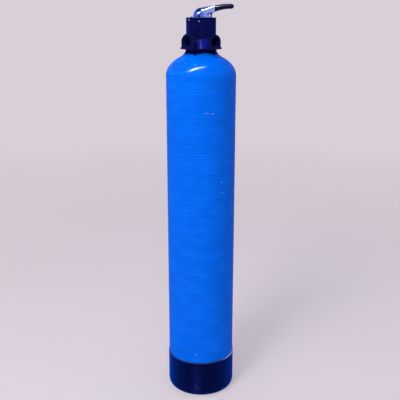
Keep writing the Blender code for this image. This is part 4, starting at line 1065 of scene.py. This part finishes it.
def hub_arch(reach):
    """Section of the arched opening in the hub's skirt."""
    outline = oval(ARCH_HALF, ARCH_HALF, ARCH_SPRING, spread(0.0, pi, 20))
    outline += [(-ARCH_HALF, LEVER_LIFT - OVERCUT), (ARCH_HALF, LEVER_LIFT - OVERCUT)]
    turn = Matrix.Rotation(GRUB_TURN, 3, "Z")
    return [turn @ Vector((across, -reach, height)) for across, height in outline]


def make_lever(look):
    shrink = (HUB_RADIUS - HUB_WALL) / HUB_RADIUS
    root = [(ARM_ROOT, across * shrink, up * shrink + LEVER_LIFT) for _, across, up in arm_section(0.0)]
    arm = lofted("lever_arm", [root] + [arm_section(share) for share in spread(0.0, 1.0, 32)])
    bead, bead_top = HUB_RADIUS + HUB_BEAD, LEVER_LIFT + HUB_BEAD_HEIGHT
    outline = [(0.0, LEVER_LIFT), (bead, LEVER_LIFT), (bead, bead_top - HUB_BEAD_EDGE)]
    outline += [(bead - HUB_BEAD_EDGE, bead_top)]
    for angle in spread(HUB_FOOT_ANGLE, pi / 2, 24):
        outline.append((HUB_RADIUS * cos(angle), HUB_HEIGHT * sin(angle)))
    outline[-1] = (0.0, HUB_HEIGHT)
    top, under = LEVER_LIFT + HUB_HOLLOW, LEVER_LIFT - OVERCUT
    wide = HUB_RADIUS - HUB_WALL
    hollow = [(HUB_BOSS, under), (wide, under), (wide, LEVER_LIFT), (wide - HUB_WALL, top), (HUB_BOSS, top)]
    socket = (0.0, 0.0, -OVERCUT), (0.0, 0.0, SOCKET_HEIGHT)
    opening = [hub_arch(reach) for reach in (wide - HUB_WALL, HUB_RADIUS + OVERCUT)]
    seat = (PIN_DISTANCE, 0.0, 0.0), (PIN_DISTANCE, 0.0, PIN_LIFT + PIN_LENGTH + GAP)
    cuts = [spun("hub_hollow", hollow), cylinder("stem_socket", STEM_BORE, *socket)]
    cuts += [lofted("grub_access", opening), cylinder("pin_seat", PIN_RADIUS + GAP, *seat)]
    mesh = solid(spun("plated_lever", outline), [arm], cuts, LEVER_BEVEL)
    piece("plated_lever", mesh, look, "lever", LEVER_FRAME, ["handle_lever"], 30)


def make_grip(look):
    sleeve = [grip_section(0.0, GRIP_EDGE_SCALE)]
    sleeve += [grip_section(share) for share in spread(GRIP_EDGE_SHARE, 1.0, 24)]
    base = ARM_REACH + 2 * GAP + GRIP_LENGTH
    turns = spread(0.0, END_CAP_ANGLE, 10)
    plug = [grip_section(1.0, cos(a), base + END_CAP_LENGTH * sin(a)) for a in turns]
    for name, sections, node in (("grip_sleeve", sleeve, "lever_grip"), ("grip_plug", plug, "grip_end_cap")):
        piece(name, lofted(name, sections), look, "lever", LEVER_FRAME, [node])


def make_pin(look):
    profile = [(0.0, PIN_LIFT), (PIN_RADIUS - PIN_EDGE, PIN_LIFT), (PIN_RADIUS, PIN_LIFT + PIN_EDGE)]
    profile += [(PIN_RADIUS, PIN_LIFT + PIN_LENGTH), (0.0, PIN_LIFT + PIN_LENGTH)]
    mesh = spun("stop_pin", profile, SMALL_ROUND)
    spot = LEVER_FRAME @ Matrix.Translation((PIN_DISTANCE, 0.0, 0.0))
    piece("stop_pin", mesh, look, "lever", spot, ["position_pin"])


# Studio


def floor_look():
    """Pale paper that takes the shadow near the object and fades into the backdrop far from it."""
    look = Look("floor_paper", PALE, 0.9, Specular_IOR_Level=0.0)
    paper = (PALE[0] / FLOOR_LIGHT, PALE[1] / FLOOR_LIGHT, PALE[2] / FLOOR_LIGHT * FLOOR_BLUE)
    look.feed("Base Color", look.blend(look.noise(2.0, 2.0), tone(paper, 0.985), tone(paper)))
    x, y, _ = look.xyz()
    far = look.scaled(look.distance(x, y), FLOOR_NEAR, FLOOR_FAR, FLOOR_SHARE)
    path = look.node("LightPath").outputs
    seen = look.math("MAXIMUM", path["Is Camera Ray"], path["Is Glossy Ray"])
    seen = look.math("MAXIMUM", seen, path["Is Transmission Ray"])
    backdrop = look.node("Emission", {"Color": tone(PALE), "Strength": 1.0}).outputs[0]
    inputs = {0: look.product(far, seen), 1: look.shader.outputs[0], 2: backdrop}
    mixed = look.node("MixShader", inputs).outputs[0]
    look.tree.links.new(mixed, look.tree.nodes["Material Output"].inputs["Surface"])
    return look.material


def make_world():
    """Even light, seen as the pale backdrop, with a darker ceiling in what gloss and metal mirror."""
    world = bpy.data.worlds.new("studio")
    world.use_nodes = True
    bpy.context.scene.world = world
    tree = world.node_tree
    tree.nodes.clear()

    def node(kind, inputs=None, **settings):
        return add_node(tree, kind, inputs, **settings)

    def background(colour, strength=1.0):
        return node("Background", {"Color": (*colour, 1.0), "Strength": strength}).outputs[0]

    def mixed(share, first, second):
        return node("MixShader", {0: share, 1: first, 2: second}).outputs[0]

    path = node("LightPath").outputs
    direction = node("TexCoord").outputs["Generated"]
    climb = node("SeparateXYZ", {"Vector": direction}).outputs["Z"]
    inputs = {"Value": climb, "From Min": CEILING_START, "From Max": CEILING_END}
    overhead = node("MapRange", inputs).outputs["Result"]
    pale = background(PALE)
    mirrored = mixed(overhead, pale, background(CEILING))
    rays = {0: path["Is Glossy Ray"], 1: path["Is Transmission Ray"]}
    glossy = node("Math", rays, operation="MAXIMUM").outputs[0]
    lit = mixed(glossy, background(AMBIENT_COLOUR, AMBIENT), mirrored)
    node("OutputWorld", {"Surface": mixed(path["Is Camera Ray"], lit, pale)})


def make_lamp(name, place, aim, size, power, turn=0.0):
    data = bpy.data.lights.new(name, "AREA")
    data.shape = "RECTANGLE"
    data.size, data.size_y = size
    data.energy = power
    made = placed(name, data)
    made.location = place
    facing = (Vector(aim) - Vector(place)).to_track_quat("-Z", "Y").to_matrix()
    made.rotation_euler = (facing @ Matrix.Rotation(turn, 3, "Z")).to_euler()
    return made


def make_studio():
    half = FLOOR_SIZE / 2
    corners = [(-half, -half, 0.0), (half, -half, 0.0), (half, half, 0.0), (-half, half, 0.0)]
    floor = placed("floor", mesh_of("floor", corners, [(0, 1, 2, 3)]))
    floor.location.z = -FLOOR_DROP
    floor.data.materials.append(floor_look())
    key = around(KEY["distance"], KEY["azimuth"], KEY["height"])
    make_lamp("key", key, KEY_AIM, KEY["size"], KEY["power"]).visible_glossy = False
    turn = Matrix.Rotation(CAMERA_AZIMUTH, 3, "Z")
    start, end = (turn @ Vector((*point, TUBE_HEIGHT)) for point in TUBE_ENDS)
    middle, along = (start + end) / 2, end - start
    heading = atan2(along.y, along.x)
    below = middle - Vector((0.0, 0.0, 1.0))
    size = (along.length, TUBE_WIDTH)
    make_lamp("tube", middle, below, size, TUBE_POWER, heading)
    make_lamp("glint", middle, below, size, GLINT_POWER, heading).visible_diffuse = False


def make_camera():
    data = bpy.data.cameras.new("photo_camera")
    data.lens = CAMERA_LENS
    camera = placed("photo_camera", data)
    camera.location = around(CAMERA_DISTANCE, CAMERA_AZIMUTH, CAMERA_HEIGHT)
    sideways = around(AIM_SIDE, CAMERA_AZIMUTH + pi / 2, 0.0)
    aim = Vector((0.0, 0.0, AIM_HEIGHT)) + sideways - camera.location
    camera.rotation_euler = aim.to_track_quat("-Z", "Y").to_euler()
    bpy.context.scene.camera = camera


def dress_inside():
    """Looks for the frame's own nodes that stay as they are."""
    rubber = plain_look("rubber_black", (0.012, 0.012, 0.013), 0.65, scale=900.0)
    ceramic = plain_look("ceramic_white", (0.8, 0.79, 0.76), 0.22, scale=200.0, depth=0.00002)
    white = plain_look("pipe_white", PLAIN_WHITE, 0.42)
    grey = plain_look("strainer_moulding", (0.35, 0.36, 0.38), 0.48)
    looks = {
        "tank_liner": plain_look("liner_polyethylene", (0.7, 0.72, 0.7), 0.5),
        "riser_tube": white,
        "bottom_strainer": grey,
        "top_strainer": grey,
        "gravel_bed": granular_look("river_gravel", (0.3, 0.25, 0.18), (0.52, 0.46, 0.37), 160.0, 0.8),
        "carbon_bed": granular_look("carbon_grains", (0.008, 0.008, 0.009), (0.04, 0.04, 0.043), 420.0, 0.75),
        "fixed_disc": ceramic,
        "moving_disc": ceramic,
        "thrust_washer": plain_look("nylon_natural", (0.75, 0.74, 0.7), 0.45),
        "rotor_stem": brushed_look("turned_brass", (0.62, 0.44, 0.16), 0.28),
        "grub_screw": brushed_look("grub_steel", (0.45, 0.45, 0.47), 0.3),
    }
    for name in ("seat_seal", "rotor_seal", "neck_seal", "riser_seal", "cap_seal", "stem_seal"):
        looks[name] = rubber
    for name, look in looks.items():
        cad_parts[name].data.materials.clear()
        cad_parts[name].data.materials.append(look)


def main():
    bpy.context.scene.view_settings.view_transform = "Standard"
    make_camera()
    make_world()
    make_studio()
    body_black = valve_look(VALVE_BLACK)
    chrome = chrome_look("plated_chrome", HUB_REFLECTION_BLUE, ARM_REFLECTION_BLUE, 0.05)
    make_winding(winding_look(WINDING_BLUE, DIPPED_BLACK))
    make_neck(neck_look(WINDING_BLUE, DIPPED_BLACK))
    make_boot(boot_look(BOOT_BLACK))
    make_valve_body(body_black)
    make_cap(moulded_look("cap_black", CAP_BLACK, 0.5, gloss=0.0, cast=0.15).material)
    make_pips(body_black)
    make_cap_screws(brushed_look("zinc_screw", ZINC, 0.3))
    make_dial(moulded_look("dial_satin", DIAL_DARK, 0.5, gloss=0.0, cast=0.1).material)
    make_dial_marks(plain_look("mark_white", PLAIN_WHITE, 0.4))
    make_lever(chrome)
    make_grip(moulded_look("grip_gloss", GRIP_BLACK, 0.1, grain=700.0, gloss=0.15).material)
    make_pin(chrome)
    dress_inside()


main()
